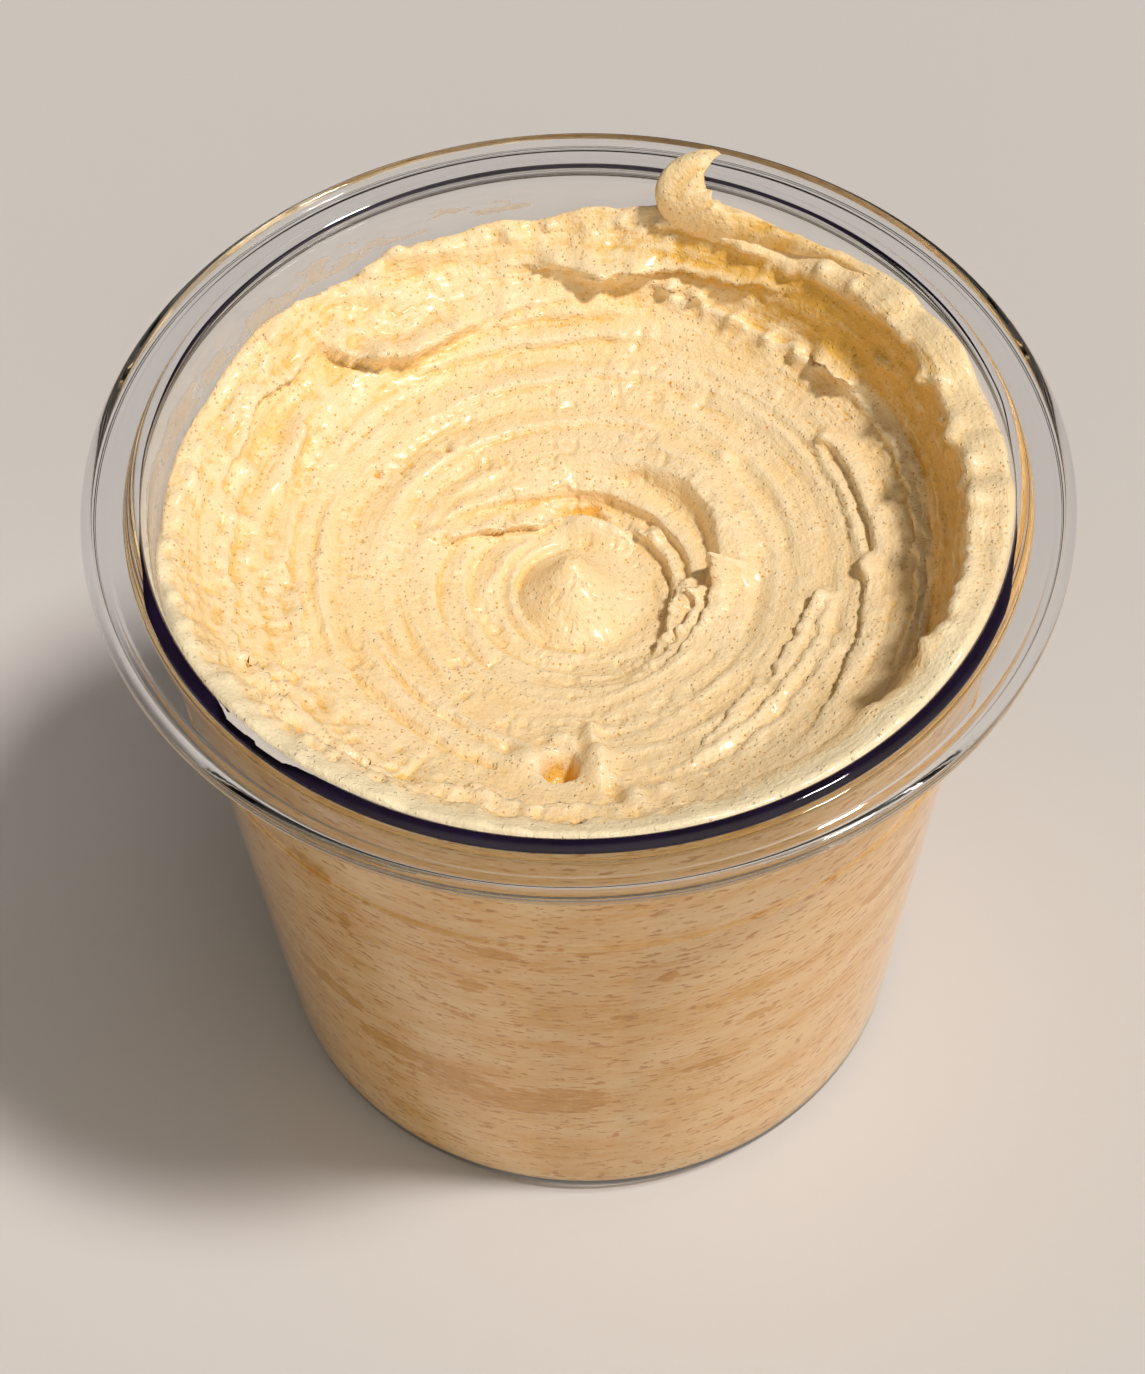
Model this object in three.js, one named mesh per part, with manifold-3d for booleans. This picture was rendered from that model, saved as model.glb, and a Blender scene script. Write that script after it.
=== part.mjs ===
// Ice cream pint: a clear plastic tub of churned ice cream, seen open and full.
//
// Millimetres, +Z up. The origin is the centre of the tub's flat base, on the
// surface that it stands on. Angles are in degrees round the Z axis from +X.
//
// Two pieces: the moulded tub, with its thin flange and lip, and the ice cream,
// a fill with a swirled, bowl-shaped top that climbs the wall on one side and
// ends there in a tongue that laps over the rim.

import * as THREE from 'three';
import Module from 'manifold-3d';
import { mergeVertices } from 'three/addons/utils/BufferGeometryUtils.js';

// ---------------------------------------------------------------- the tub
const TUB_SEGMENTS = 52;
const LIP_RADIUS = 60;            // outside of the lip, the widest place
const LIP_TOP = 103.5;
const LIP_WIDTH = 1.4;
const LIP_HEIGHT = 2.6;
const MOUTH_TOP = 104.2;          // top of the thick ring round the mouth
const MOUTH_OUTER = 54.65;
const MOUTH_INNER = 52.7;
const FLANGE_TOP = 102.5;         // the thin flange between ring and lip
const FLANGE_THICKNESS = 1.2;
const LEDGE_Z = 78.5;             // where the body steps out to the collar
const LEDGE_STEP = 1.0;
const LEDGE_RADIUS = 51.6;
const BASE_RADIUS = 45.1;         // outside of the wall just above the base's corner
const BASE_CORNER = 4.2;
const BASE_THICKNESS = 2.6;
const WALL = 1.3;

// ---------------------------------------------------------- the ice cream
const FILL_SEGMENTS = 98;
const FILL_GAP = 0.3;             // clearance between the fill and the tub
const TOP_ROWS = 40;              // rows of vertices from the wall to the middle
const WALL_ROW_HEIGHTS = [24, 42, 60, 74];
const EDGE_LEVEL = 95.5;          // usual height of the fill where it meets the wall

// The bowl that the paddle left, [radius, height], from the middle to the wall.
const BOWL = [[0, 79.7], [9, 79.5], [12.5, 80.4], [18, 83.2], [35.5, 86.6], [45, 91], [51.6, EDGE_LEVEL]];

// The height of the fill's edge on the wall, [angle, height]: low at the back and
// left, climbing to the rim on the right and in front.
const CREST = [
  [0, 103.2], [12, 101.9], [38, 103.1], [56, 100.8], [70, 102.2], [80, 99.2], [90, 96.9], [108, 96.3],
  [128, 95.3], [142, 97.1], [158, 96.1], [178, 95.5], [190, 97.6], [204, 100.9], [236, 102.1], [290, 102.4],
  [332, 103.0], [360, 103.2],
];
const CREST_WIDTH_RIGHT = 6.2;    // how far in from the wall the raised edge reaches
const CREST_WIDTH_FRONT = 3.4;

// The swirl: one spiral of rounded ridges.
const SWIRL_PITCH = 5.3;
const SWIRL_DEPTH = 0.9;
const SWIRL_TWIST = 0.55;         // turns of pitch gained in one turn round
const SWIRL_START = 12;
const SWIRL_END = 48;

// The small peak left standing in the middle.
const PEAK = { x: -0.8, y: 0.2, radius: 5.6, height: 5.4, lean: 2.1 };

// Ridges and grooves that follow the swirl: radius at both ends, angles, width, height.
const ARCS = [
  { name: 'inner bowl edge', r0: 19.6, r1: 18.4, from: -4, to: 74, width: 2.0, height: 1.5 },
  { name: 'inner bowl foot', r0: 14.6, r1: 14.2, from: -10, to: 84, width: 2.4, height: -1.3 },
  { name: 'torn edge', r0: 15.6, r1: 17.2, from: -64, to: 2, width: 1.5, height: 1.5 },
  { name: 'dragged arm', r0: 10.8, r1: 18.4, from: 88, to: 158, width: 1.4, height: 1.0 },
  { name: 'hollow behind the arm', r0: 13.2, r1: 16.8, from: 62, to: 128, width: 1.8, height: -1.1 },
  { name: 'crack on the right', r0: 30.4, r1: 29.2, from: -62, to: -12, width: 1.3, height: -0.9 },
  { name: 'ridge on the right', r0: 34.4, r1: 37.6, from: -44, to: 22, width: 1.5, height: 0.9 },
  { name: 'groove inside the right wall', r0: 44.4, r1: 43.6, from: -40, to: 58, width: 2.4, height: -1.0 },
  { name: 'curled ridge on the left', r0: 41.0, r1: 36.2, from: 146, to: 202, width: 1.4, height: 0.8 },
  { name: 'crumbled ridge in front', r0: 43.6, r1: 39.4, from: 200, to: 250, width: 1.6, height: 0.9 },
  { name: 'inner ridge in front', r0: 26.2, r1: 28.2, from: 208, to: 258, width: 1.5, height: 0.8 },
  { name: 'band at the back', r0: 40.2, r1: 39.4, from: 44, to: 120, width: 1.9, height: 1.0 },
];

// Lumps and hollows: place, half width, height.
const LUMPS = [
  { name: 'folded lump at the back left', x: -24.4, y: 33.4, radius: 4.4, height: 2.4 },
  { name: 'its left end', x: -29.6, y: 33.6, radius: 2.2, height: 1.8 },
  { name: 'hollow beside it', x: -29.4, y: 29.8, radius: 1.8, height: -1.5 },
  { name: 'lump at the back', x: 3.4, y: 44.4, radius: 2.9, height: 2.2 },
  { name: 'small lump at the back', x: 14.2, y: 42.6, radius: 2.0, height: 1.3 },
  { name: 'lump on the right wall', x: 36.2, y: 28.4, radius: 2.8, height: 2.0 },
  { name: 'hole in front', x: -2.0, y: -30.4, radius: 1.9, height: -3.6 },
  { name: 'lump beside the hole', x: 2.2, y: -29.6, radius: 2.0, height: 2.0 },
  { name: 'small peak behind it', x: 0.6, y: -25.6, radius: 1.7, height: 1.5 },
];

// The tongue that laps over the rim: its middle line, [radius, angle, height], and
// its half width along the wall and half thickness, from root to tip.
const TONGUE_PATH = [[48.6, 66, 95.4], [49.6, 71, 99.4], [50.0, 73.8, 103.0], [52.4, 73.2, 106.2], [56.0, 71.0, 106.0]];
const TONGUE_WIDTH = 4.1;
const TONGUE_TIP_WIDTH = 1.5;
const TONGUE_THICKNESS = 1.35;

// ------------------------------------------------------------ small tools
const toRadians = THREE.MathUtils.degToRad;
const smooth = (t) => THREE.MathUtils.smoothstep(t, 0, 1);

/** Reads a [place, value] table, easing from one entry to the next. */
function readTable(table, place, ease = (t) => t) {
  let i = 1;
  while (i < table.length - 1 && place > table[i][0]) i += 1;
  const [p0, v0] = table[i - 1];
  const [p1, v1] = table[i];
  const t = THREE.MathUtils.clamp((place - p0) / (p1 - p0), 0, 1);
  return v0 + (v1 - v0) * ease(t);
}

/** Angle of a point round the Z axis, 0 to 360. */
function angleOf(x, y) {
  return (THREE.MathUtils.radToDeg(Math.atan2(y, x)) + 360) % 360;
}

/** Points of a quarter round from one direction to another about a centre. */
function cornerPoints(centreR, centreZ, radius, fromDeg, toDeg, steps) {
  const points = [];
  for (let i = 0; i <= steps; i += 1) {
    const a = toRadians(fromDeg + ((toDeg - fromDeg) * i) / steps);
    points.push([centreR + radius * Math.cos(a), centreZ + radius * Math.sin(a)]);
  }
  return points;
}

/** Turns a [radius, height] profile into a solid of revolution about Z. */
function revolve(profile, segments) {
  const geometry = new THREE.LatheGeometry(profile.map(([r, z]) => new THREE.Vector2(r, z)), segments);
  geometry.rotateX(Math.PI / 2);
  return geometry;
}

// ---------------------------------------------------------------- the tub
/** Outside radius of the body below the ledge. */
function bodyRadius(z) {
  const top = LEDGE_RADIUS - LEDGE_STEP;
  return BASE_RADIUS + ((top - BASE_RADIUS) * (z - BASE_CORNER)) / (LEDGE_Z - BASE_CORNER);
}

/** Inside radius of the tub at a height: the body, the step and the collar. */
function innerRadius(z) {
  if (z <= LEDGE_Z - LEDGE_STEP) return bodyRadius(z) - WALL;
  const foot = LEDGE_RADIUS - WALL;
  const collar = foot + ((MOUTH_INNER - foot) * (z - LEDGE_Z)) / (MOUTH_TOP - LEDGE_Z);
  if (z >= LEDGE_Z) return Math.min(collar, MOUTH_INNER);
  const below = bodyRadius(LEDGE_Z - LEDGE_STEP) - WALL;
  return below + (foot - below) * ((z - LEDGE_Z + LEDGE_STEP) / LEDGE_STEP);
}

function makeTub() {
  const collarTop = innerRadius(FLANGE_TOP) + WALL;
  const underFlange = FLANGE_TOP - FLANGE_THICKNESS;
  const lipInner = LIP_RADIUS - LIP_WIDTH;
  const lipRound = LIP_WIDTH / 2;
  const lipMid = LIP_RADIUS - lipRound;
  const ringMid = (MOUTH_OUTER + MOUTH_INNER) / 2;
  const ringRound = (MOUTH_OUTER - MOUTH_INNER) / 2;
  const innerCorner = BASE_CORNER - WALL;
  const floorCornerZ = BASE_THICKNESS + innerCorner;
  const profile = [
    [0, 0],
    ...cornerPoints(BASE_RADIUS - BASE_CORNER, BASE_CORNER, BASE_CORNER, -90, 0, 4),
    [bodyRadius(LEDGE_Z - LEDGE_STEP), LEDGE_Z - LEDGE_STEP],
    [LEDGE_RADIUS - 0.15, LEDGE_Z - 0.2],
    [LEDGE_RADIUS, LEDGE_Z + 0.15],
    [collarTop, underFlange - 1.0],
    [collarTop + 1.0, underFlange],
    [lipInner - 0.4, underFlange],
    ...cornerPoints(lipMid, LIP_TOP - LIP_HEIGHT + lipRound, lipRound, -180, 0, 3),
    ...cornerPoints(lipMid, LIP_TOP - lipRound, lipRound, 0, 180, 3),
    [lipInner - 0.4, FLANGE_TOP],
    [MOUTH_OUTER + 0.5, FLANGE_TOP],
    ...cornerPoints(ringMid, MOUTH_TOP - ringRound, ringRound, 0, 180, 4),
    [innerRadius(LEDGE_Z), LEDGE_Z],
    [innerRadius(LEDGE_Z - LEDGE_STEP), LEDGE_Z - LEDGE_STEP],
    [innerRadius(floorCornerZ), floorCornerZ],
    ...cornerPoints(innerRadius(floorCornerZ) - innerCorner, floorCornerZ, innerCorner, -22.5, -90, 3),
    [0, BASE_THICKNESS],
  ];
  return revolve(profile, TUB_SEGMENTS);
}

// ---------------------------------------------------------- the ice cream
/** Radius of the fill where it meets the wall at a height. */
function fillRadius(z) {
  return innerRadius(z) - FILL_GAP;
}

/** How far the raised edge reaches in from the wall at an angle. */
function crestWidth(angle) {
  const right = 0.5 + 0.5 * Math.cos(toRadians(angle - 22));
  return CREST_WIDTH_FRONT + (CREST_WIDTH_RIGHT - CREST_WIDTH_FRONT) * right;
}

/** Height that the swirl adds. */
function swirl(radius, angle) {
  const fade = smooth((radius - SWIRL_START) / 6) * smooth((SWIRL_END - radius) / 5);
  const turns = radius / SWIRL_PITCH - (SWIRL_TWIST * angle) / 360;
  const closing = smooth((angle - 300) / 60) * SWIRL_TWIST;
  const wave = 0.5 + 0.5 * Math.cos(2 * Math.PI * (turns + closing));
  return SWIRL_DEPTH * fade * (Math.pow(wave, 1.6) - 0.4);
}

/** Height that one ridge or groove along the swirl adds. */
function arcRelief(arc, radius, angle) {
  const span = arc.to - arc.from;
  const along = ((((angle - arc.from) % 360) + 360) % 360) / span;
  if (along > 1) return 0;
  const middle = arc.r0 + (arc.r1 - arc.r0) * along;
  const across = (radius - middle) / arc.width;
  return arc.height * Math.exp(-across * across) * smooth(along * 5) * smooth((1 - along) * 5);
}

/** Height of the fill's top at a place, before the raised edge. */
function openSurface(x, y) {
  const radius = Math.hypot(x, y);
  const angle = angleOf(x, y);
  let z = readTable(BOWL, radius, smooth) * 0.5 + readTable(BOWL, radius) * 0.5;
  z += swirl(radius, angle);
  for (const arc of ARCS) z += arcRelief(arc, radius, angle);
  for (const lump of LUMPS) {
    const d = Math.hypot(x - lump.x, y - lump.y) / lump.radius;
    z += lump.height * Math.exp(-d * d);
  }
  const rise = Math.max(0, 1 - Math.hypot(x - PEAK.x, y - PEAK.y) / (PEAK.radius * 1.6));
  const leanY = PEAK.y + PEAK.lean * smooth(rise);
  const d = Math.hypot(x - PEAK.x, y - leanY) / PEAK.radius;
  return z + PEAK.height * Math.exp(-Math.pow(d, 1.5));
}

/** Height of the fill's top at a share of the way out (0 middle, 1 wall) and an angle. */
function topPoint(share, angle) {
  const crest = readTable(CREST, angle, smooth);
  const edge = fillRadius(crest);
  const radius = edge * share;
  const x = radius * Math.cos(toRadians(angle));
  const y = radius * Math.sin(toRadians(angle));
  const lift = smooth((radius - edge + crestWidth(angle)) / (crestWidth(angle) * 0.72));
  const z = openSurface(x, y);
  return [x, y, z + Math.max(crest - z, 0) * lift];
}

/** The fill as a solid of revolution whose top rows are then moved to the real surface. */
function makeFill() {
  const bottom = BASE_THICKNESS + FILL_GAP;
  const corner = BASE_CORNER - WALL;
  const cornerZ = bottom + corner;
  const side = [
    [0, bottom],
    ...cornerPoints(fillRadius(cornerZ) - corner, cornerZ, corner, -90, -15, 3),
    ...WALL_ROW_HEIGHTS.map((z) => [fillRadius(z), z]),
    [fillRadius(LEDGE_Z - LEDGE_STEP - 0.2), LEDGE_Z - LEDGE_STEP - 0.2],
    [fillRadius(LEDGE_Z + 0.2), LEDGE_Z + 0.2],
    [fillRadius(88), 88],
  ];
  const shares = Array.from({ length: TOP_ROWS }, (_, i) => 1 - i / (TOP_ROWS - 1));
  const top = shares.map((share) => [fillRadius(EDGE_LEVEL) * share, EDGE_LEVEL]);
  const geometry = revolve([...side, ...top], FILL_SEGMENTS);
  const position = geometry.getAttribute('position');
  const rows = side.length + top.length;
  for (let column = 0; column <= FILL_SEGMENTS; column += 1) {
    const first = column * rows;
    const wall = first + side.length;
    const angle = angleOf(position.getX(wall), position.getY(wall)) % 359.999;
    for (let row = 0; row < top.length; row += 1) {
      position.setXYZ(wall + row, ...topPoint(shares[row], angle));
    }
  }
  return geometry;
}

/** The tongue: a sphere drawn out along a curve, wide at the root and narrow at the tip. */
function makeTongue() {
  const points = TONGUE_PATH.map(([r, a, z]) => new THREE.Vector3(
    r * Math.cos(toRadians(a)), r * Math.sin(toRadians(a)), z));
  const curve = new THREE.CatmullRomCurve3(points);
  const geometry = new THREE.SphereGeometry(1, 12, 14);
  const position = geometry.getAttribute('position');
  for (let i = 0; i < position.count; i += 1) {
    const along = 0.5 - 0.5 * position.getY(i);
    const place = curve.getPoint(along);
    const tangent = curve.getTangent(along);
    const round = new THREE.Vector3(-place.y, place.x, 0).normalize();
    const across = round.clone().addScaledVector(tangent, -round.dot(tangent)).normalize();
    const outward = new THREE.Vector3().crossVectors(tangent, across);
    const halfWidth = TONGUE_WIDTH + (TONGUE_TIP_WIDTH - TONGUE_WIDTH) * smooth(along);
    place.addScaledVector(across, position.getX(i) * halfWidth);
    place.addScaledVector(outward, position.getZ(i) * TONGUE_THICKNESS);
    position.setXYZ(i, place.x, place.y, place.z);
  }
  return geometry;
}

// ------------------------------------------------------------- joining
const wasm = await Module();
wasm.setup();

function toManifold(geometry) {
  const bare = geometry.clone();
  bare.deleteAttribute('normal');
  bare.deleteAttribute('uv');
  const merged = mergeVertices(bare, 1e-4);
  const index = Array.from(merged.index.array);
  const triangles = [];
  for (let i = 0; i < index.length; i += 3) {
    const [a, b, c] = index.slice(i, i + 3);
    if (a !== b && b !== c && c !== a) triangles.push(a, b, c);
  }
  const solid = new wasm.Manifold(new wasm.Mesh({
    numProp: 3,
    vertProperties: Float32Array.from(merged.getAttribute('position').array),
    triVerts: Uint32Array.from(triangles),
  }));
  return solid;
}

function toGeometry(solid) {
  const mesh = solid.getMesh();
  const geometry = new THREE.BufferGeometry();
  geometry.setAttribute('position', new THREE.BufferAttribute(Float32Array.from(mesh.vertProperties), 3));
  geometry.setIndex(new THREE.BufferAttribute(Uint32Array.from(mesh.triVerts), 1));
  geometry.computeVertexNormals();
  return geometry;
}

function makeIceCream() {
  return toGeometry(toManifold(makeFill()).add(toManifold(makeTongue())));
}

// -------------------------------------------------------------- the model
const clearPlastic = new THREE.MeshStandardMaterial({
  name: 'clear_plastic', color: 0xdfe1e6, roughness: 0.08, metalness: 0, transparent: true, opacity: 0.35,
});
const custardIceCream = new THREE.MeshStandardMaterial({
  name: 'custard_ice_cream', color: 0xf6dca2, roughness: 0.55, metalness: 0,
});

const pint = new THREE.Group();
const tub = new THREE.Mesh(makeTub(), clearPlastic);
tub.name = 'tub';
const iceCream = new THREE.Mesh(makeIceCream(), custardIceCream);
iceCream.name = 'ice_cream';
pint.add(tub, iceCream);

export default pint;
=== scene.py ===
"""Ice cream pint: a clear moulded tub, full of churned custard ice cream.

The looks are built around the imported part, in its frame. Sizes in this file are
in millimetres and angles in degrees round the tub's axis from +X, and both are
turned to metres and radians where a mesh, a lamp or a pattern is made.
"""

import logging
import math
from collections.abc import Callable
from dataclasses import dataclass
from enum import Enum
from functools import cached_property

import bmesh
import bpy
import numpy as np
from mathutils import Matrix, Vector


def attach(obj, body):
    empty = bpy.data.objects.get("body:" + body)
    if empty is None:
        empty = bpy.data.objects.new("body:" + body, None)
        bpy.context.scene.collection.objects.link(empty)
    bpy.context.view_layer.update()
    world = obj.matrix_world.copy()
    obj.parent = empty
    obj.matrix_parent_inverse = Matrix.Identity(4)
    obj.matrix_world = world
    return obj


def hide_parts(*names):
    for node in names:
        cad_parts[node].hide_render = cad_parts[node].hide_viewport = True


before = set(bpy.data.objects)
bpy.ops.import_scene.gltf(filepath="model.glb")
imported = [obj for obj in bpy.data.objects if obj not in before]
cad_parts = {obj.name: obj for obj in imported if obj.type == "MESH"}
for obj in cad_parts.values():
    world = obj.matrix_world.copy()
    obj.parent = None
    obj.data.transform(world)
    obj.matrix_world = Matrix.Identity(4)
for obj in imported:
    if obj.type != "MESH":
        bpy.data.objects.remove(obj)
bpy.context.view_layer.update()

LOG = logging.getLogger("pint")
MM = 0.001
PHOTO_WIDTH = 1145
PHOTO_HEIGHT = 1374
Array = np.ndarray
Socket = bpy.types.NodeSocket
Unroll = Callable[[Array], Array]
Outline = list[tuple[float, float]]
Table = tuple[tuple[float, float], ...]


class Slot(Enum):
    """Names of the record's material slots."""

    PLASTIC = "clear_plastic"
    ICE_CREAM = "custard_ice_cream"


# ------------------------------------------------------------- small tools
def linear(code: str) -> tuple[float, float, float, float]:
    """Turns an sRGB colour, as "#RRGGBB", to linear red, green and blue and an alpha of 1."""
    shares = [int(code[i : i + 2], 16) / 255 for i in (1, 3, 5)]
    return (*(s / 12.92 if s <= 0.04045 else ((s + 0.055) / 1.055) ** 2.4 for s in shares), 1.0)


def smooth(t: Array) -> Array:
    """Eases a share from 0 to 1, and holds it there outside that range."""
    t = np.clip(t, 0.0, 1.0)
    return t * t * (3 - 2 * t)


def around(angle: Array, table: Table) -> Array:
    """Reads a closed table of values round the tub, eased between its entries.

    Args:
        angle: Angles from 0 to 360.
        table: Pairs of angle and value, in order, within one turn.

    Returns:
        The value at each angle.
    """
    places = np.array([a for a, _ in table] + [table[0][0] + 360])
    values = np.array([v for _, v in table] + [table[0][1]])
    wrapped = places[0] + np.mod(angle - places[0], 360)
    i = np.clip(np.searchsorted(places, wrapped, side="right") - 1, 0, len(places) - 2)
    share = smooth((wrapped - places[i]) / (places[i + 1] - places[i]))
    return values[i] + (values[i + 1] - values[i]) * share


def add_node(
    tree: bpy.types.NodeTree, kind: str, settings: dict | None = None, inputs: dict | None = None
) -> bpy.types.Node:
    """Adds a node with its settings and links.

    Args:
        tree: The node tree that gets it.
        kind: The node's type name.
        settings: Values for the node's own properties.
        inputs: For each socket, by name or number, a value or the output that feeds it.

    Returns:
        The new node.
    """
    node = tree.nodes.new(kind)
    for name, value in (settings or {}).items():
        setattr(node, name, value)
    for name, value in (inputs or {}).items():
        if isinstance(value, bpy.types.NodeSocket):
            tree.links.new(value, node.inputs[name])
        else:
            node.inputs[name].default_value = value
    return node


class Recipe:
    """A material under way, with a short call for each kind of node that the finishes share."""

    def __init__(self, name: str) -> None:
        """Starts an empty material.

        Args:
            name: The material's name.
        """
        self.material = bpy.data.materials.new(name)
        self.material.use_nodes = True
        self.tree = self.material.node_tree
        self.tree.nodes.clear()

    @cached_property
    def place(self) -> Socket:
        """The piece's own coordinates, in metres."""
        return self.add("ShaderNodeTexCoord").outputs["Object"]

    def add(self, kind: str, settings: dict | None = None, inputs: dict | None = None) -> bpy.types.Node:
        """Adds a node to the material, as add_node does."""
        return add_node(self.tree, kind, settings, inputs)

    def read(self, attribute: str) -> Socket:
        """Reads a value that the mesh carries at each point."""
        return self.add("ShaderNodeAttribute", {"attribute_name": attribute}).outputs["Fac"]

    def noise(self, size_mm: float, detail: float, roughness: float = 0.5, place: Socket | None = None) -> Socket:
        """Smooth noise from 0 to 1, whose cells measure size_mm.

        Args:
            size_mm: Size of the coarsest cells.
            detail: Number of finer layers.
            roughness: How strong the finer layers are.
            place: Coordinates to read it at, or None for the piece's own.

        Returns:
            The noise.
        """
        return self.add("ShaderNodeTexNoise", inputs={
            "Vector": self.place if place is None else place, "Scale": 1 / (size_mm * MM),
            "Detail": detail, "Roughness": roughness,
        }).outputs["Fac"]

    def maths(self, operation: str, *values: float | Socket, clamp: bool = False) -> Socket:
        """Works out one operation on sockets or numbers, and holds the result from 0 to 1 if clamp says so."""
        settings = {"operation": operation, "use_clamp": clamp}
        return self.add("ShaderNodeMath", settings, dict(enumerate(values))).outputs["Value"]

    def ramp(
        self, value: Socket, start: float, end: float, low: float = 0.0, high: float = 1.0, eased: bool = False
    ) -> Socket:
        """Turns start to low and end to high, and holds both outside that range.

        Args:
            value: What it reads.
            start: Value that gives low.
            end: Value that gives high.
            low: Result at start.
            high: Result at end.
            eased: Whether the way between them is eased.

        Returns:
            The result.
        """
        return self.add("ShaderNodeMapRange", {"interpolation_type": "SMOOTHSTEP" if eased else "LINEAR"}, {
            "Value": value, "From Min": start, "From Max": end, "To Min": low, "To Max": high,
        }).outputs["Result"]

    def blend(self, share: Socket, first: str | Socket, second: str | Socket) -> Socket:
        """Mixes two colours, each a hex code or a socket.

        Args:
            share: How far it goes, from 0 to 1.
            first: The colour at 0.
            second: The colour at 1.

        Returns:
            The colour.
        """
        inputs = {0: share}
        for socket, colour in ((6, first), (7, second)):
            inputs[socket] = linear(colour) if isinstance(colour, str) else colour
        return self.add("ShaderNodeMix", {"data_type": "RGBA"}, inputs).outputs[2]

    def bump(self, height: Socket, depth_mm: float, below: Socket | None = None, strength: float = 1.0) -> Socket:
        """Bends the normal by a height.

        Args:
            height: The height, as a share of depth_mm.
            depth_mm: How deep the relief is.
            below: A normal that is bent already, or None for the piece's own.
            strength: Share of the bend that is kept.

        Returns:
            The bent normal.
        """
        inputs = {"Height": height, "Strength": strength, "Distance": depth_mm * MM}
        if below is not None:
            inputs["Normal"] = below
        return self.add("ShaderNodeBump", inputs=inputs).outputs["Normal"]

    def principled(self, inputs: dict) -> Socket:
        """Adds the surface shader with these inputs."""
        return self.add("ShaderNodeBsdfPrincipled", inputs=inputs).outputs["BSDF"]

    def close(self, surface: Socket) -> bpy.types.Material:
        """Links the surface to the output, and returns the finished material."""
        self.add("ShaderNodeOutputMaterial", inputs={"Surface": surface})
        return self.material


def finish_piece(bm: bmesh.types.BMesh, name: str, material: bpy.types.Material) -> bpy.types.Object:
    """Turns a bmesh into a smooth-shaded piece that rides on the part.

    Args:
        bm: The mesh in metres, which is freed.
        name: The piece's name.
        material: Its finish.

    Returns:
        The new object.
    """
    mesh = bpy.data.meshes.new(name)
    bm.to_mesh(mesh)
    bm.free()
    mesh.materials.append(material)
    mesh.polygons.foreach_set("use_smooth", np.ones(len(mesh.polygons), bool))
    piece = bpy.data.objects.new(name, mesh)
    bpy.context.scene.collection.objects.link(piece)
    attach(piece, "root")
    LOG.info("%s: %d vertices, %d faces", name, len(mesh.vertices), len(mesh.polygons))
    return piece


def spin_outline(bm: bmesh.types.BMesh, outline: Outline, steps: int, closed: bool) -> None:
    """Turns an outline round the Z axis into a closed shell.

    Args:
        bm: The bmesh that gets the shell.
        outline: Radius and height of each point, in millimetres.
        steps: Number of columns in one full turn.
        closed: Whether the outline closes on itself instead of ending on the axis.
    """
    verts = [bm.verts.new((radius * MM, 0.0, height * MM)) for radius, height in outline]
    pairs = list(zip(verts, verts[1:] + (verts[:1] if closed else [])))
    edges = [bm.edges.new(pair) for pair in pairs if pair[0] is not pair[1]]
    bmesh.ops.spin(
        bm, geom=[*verts, *edges], cent=(0, 0, 0), axis=(0, 0, 1), dvec=(0, 0, 0),
        angle=math.tau, steps=steps, use_merge=True, use_duplicate=False,
    )
    bmesh.ops.remove_doubles(bm, verts=bm.verts, dist=1e-7)
    bmesh.ops.recalc_face_normals(bm, faces=bm.faces)


def wrap_grid(points: Array, flags: dict[str, Array]) -> bmesh.types.BMesh:
    """Lays a grid over points and closes it: round its columns, and at its first and last row.

    Args:
        points: The place of each point in columns and rows, in millimetres.
        flags: Values for each point, that become float layers of the same name.

    Returns:
        The closed mesh in metres.
    """
    columns, rows = points.shape[:2]
    bm = bmesh.new()
    bmesh.ops.create_grid(bm, x_segments=columns, y_segments=rows - 1, size=1.0)
    layers = {name: bm.verts.layers.float.new(name) for name in flags}
    seam = []
    for i, vert in enumerate(bm.verts):
        row, column = divmod(i, columns + 1)
        vert.co = Vector(points[column % columns, row]) * MM
        for name, layer in layers.items():
            vert[layer] = float(flags[name][column % columns, row])
        if row in (0, rows - 1) or column in (0, columns):
            seam.append(vert)
    bmesh.ops.remove_doubles(bm, verts=seam, dist=1e-7)
    bmesh.ops.recalc_face_normals(bm, faces=bm.faces)
    return bm


def arc(radius: float, height: float, bend: float, start: float, end: float, steps: int) -> Outline:
    """Points of a corner of radius bend round a centre, between two angles that count from outwards up."""
    angles = np.radians(np.linspace(start, end, steps + 1))
    return [(radius + bend * math.cos(a), height + bend * math.sin(a)) for a in angles]


def oval(radius: float, height: float, half_width: float, half_height: float, steps: int) -> Outline:
    """Points of a closed oval section, whose middle is at this radius and height."""
    angles = np.linspace(0, math.tau, steps + 1)[:-1]
    return [(radius + half_width * math.cos(a), height + half_height * math.sin(a)) for a in angles]


def braced(outline: Outline, hold: float = 0.3) -> Outline:
    """Adds a point close to each end of every long stretch, so that smooth shading bends at the corners alone.

    Args:
        outline: Radius and height of each point.
        hold: Distance of the added points from the corners.

    Returns:
        The outline with the added points.
    """
    points = [outline[0]]
    for (r0, z0), (r1, z1) in zip(outline, outline[1:]):
        length = math.hypot(r1 - r0, z1 - z0)
        if length > 4 * hold:
            share = hold / length
            points += [(r0 + (r1 - r0) * t, z0 + (z1 - z0) * t) for t in (share, 1 - share)]
        points.append((r1, z1))
    return points


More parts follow.
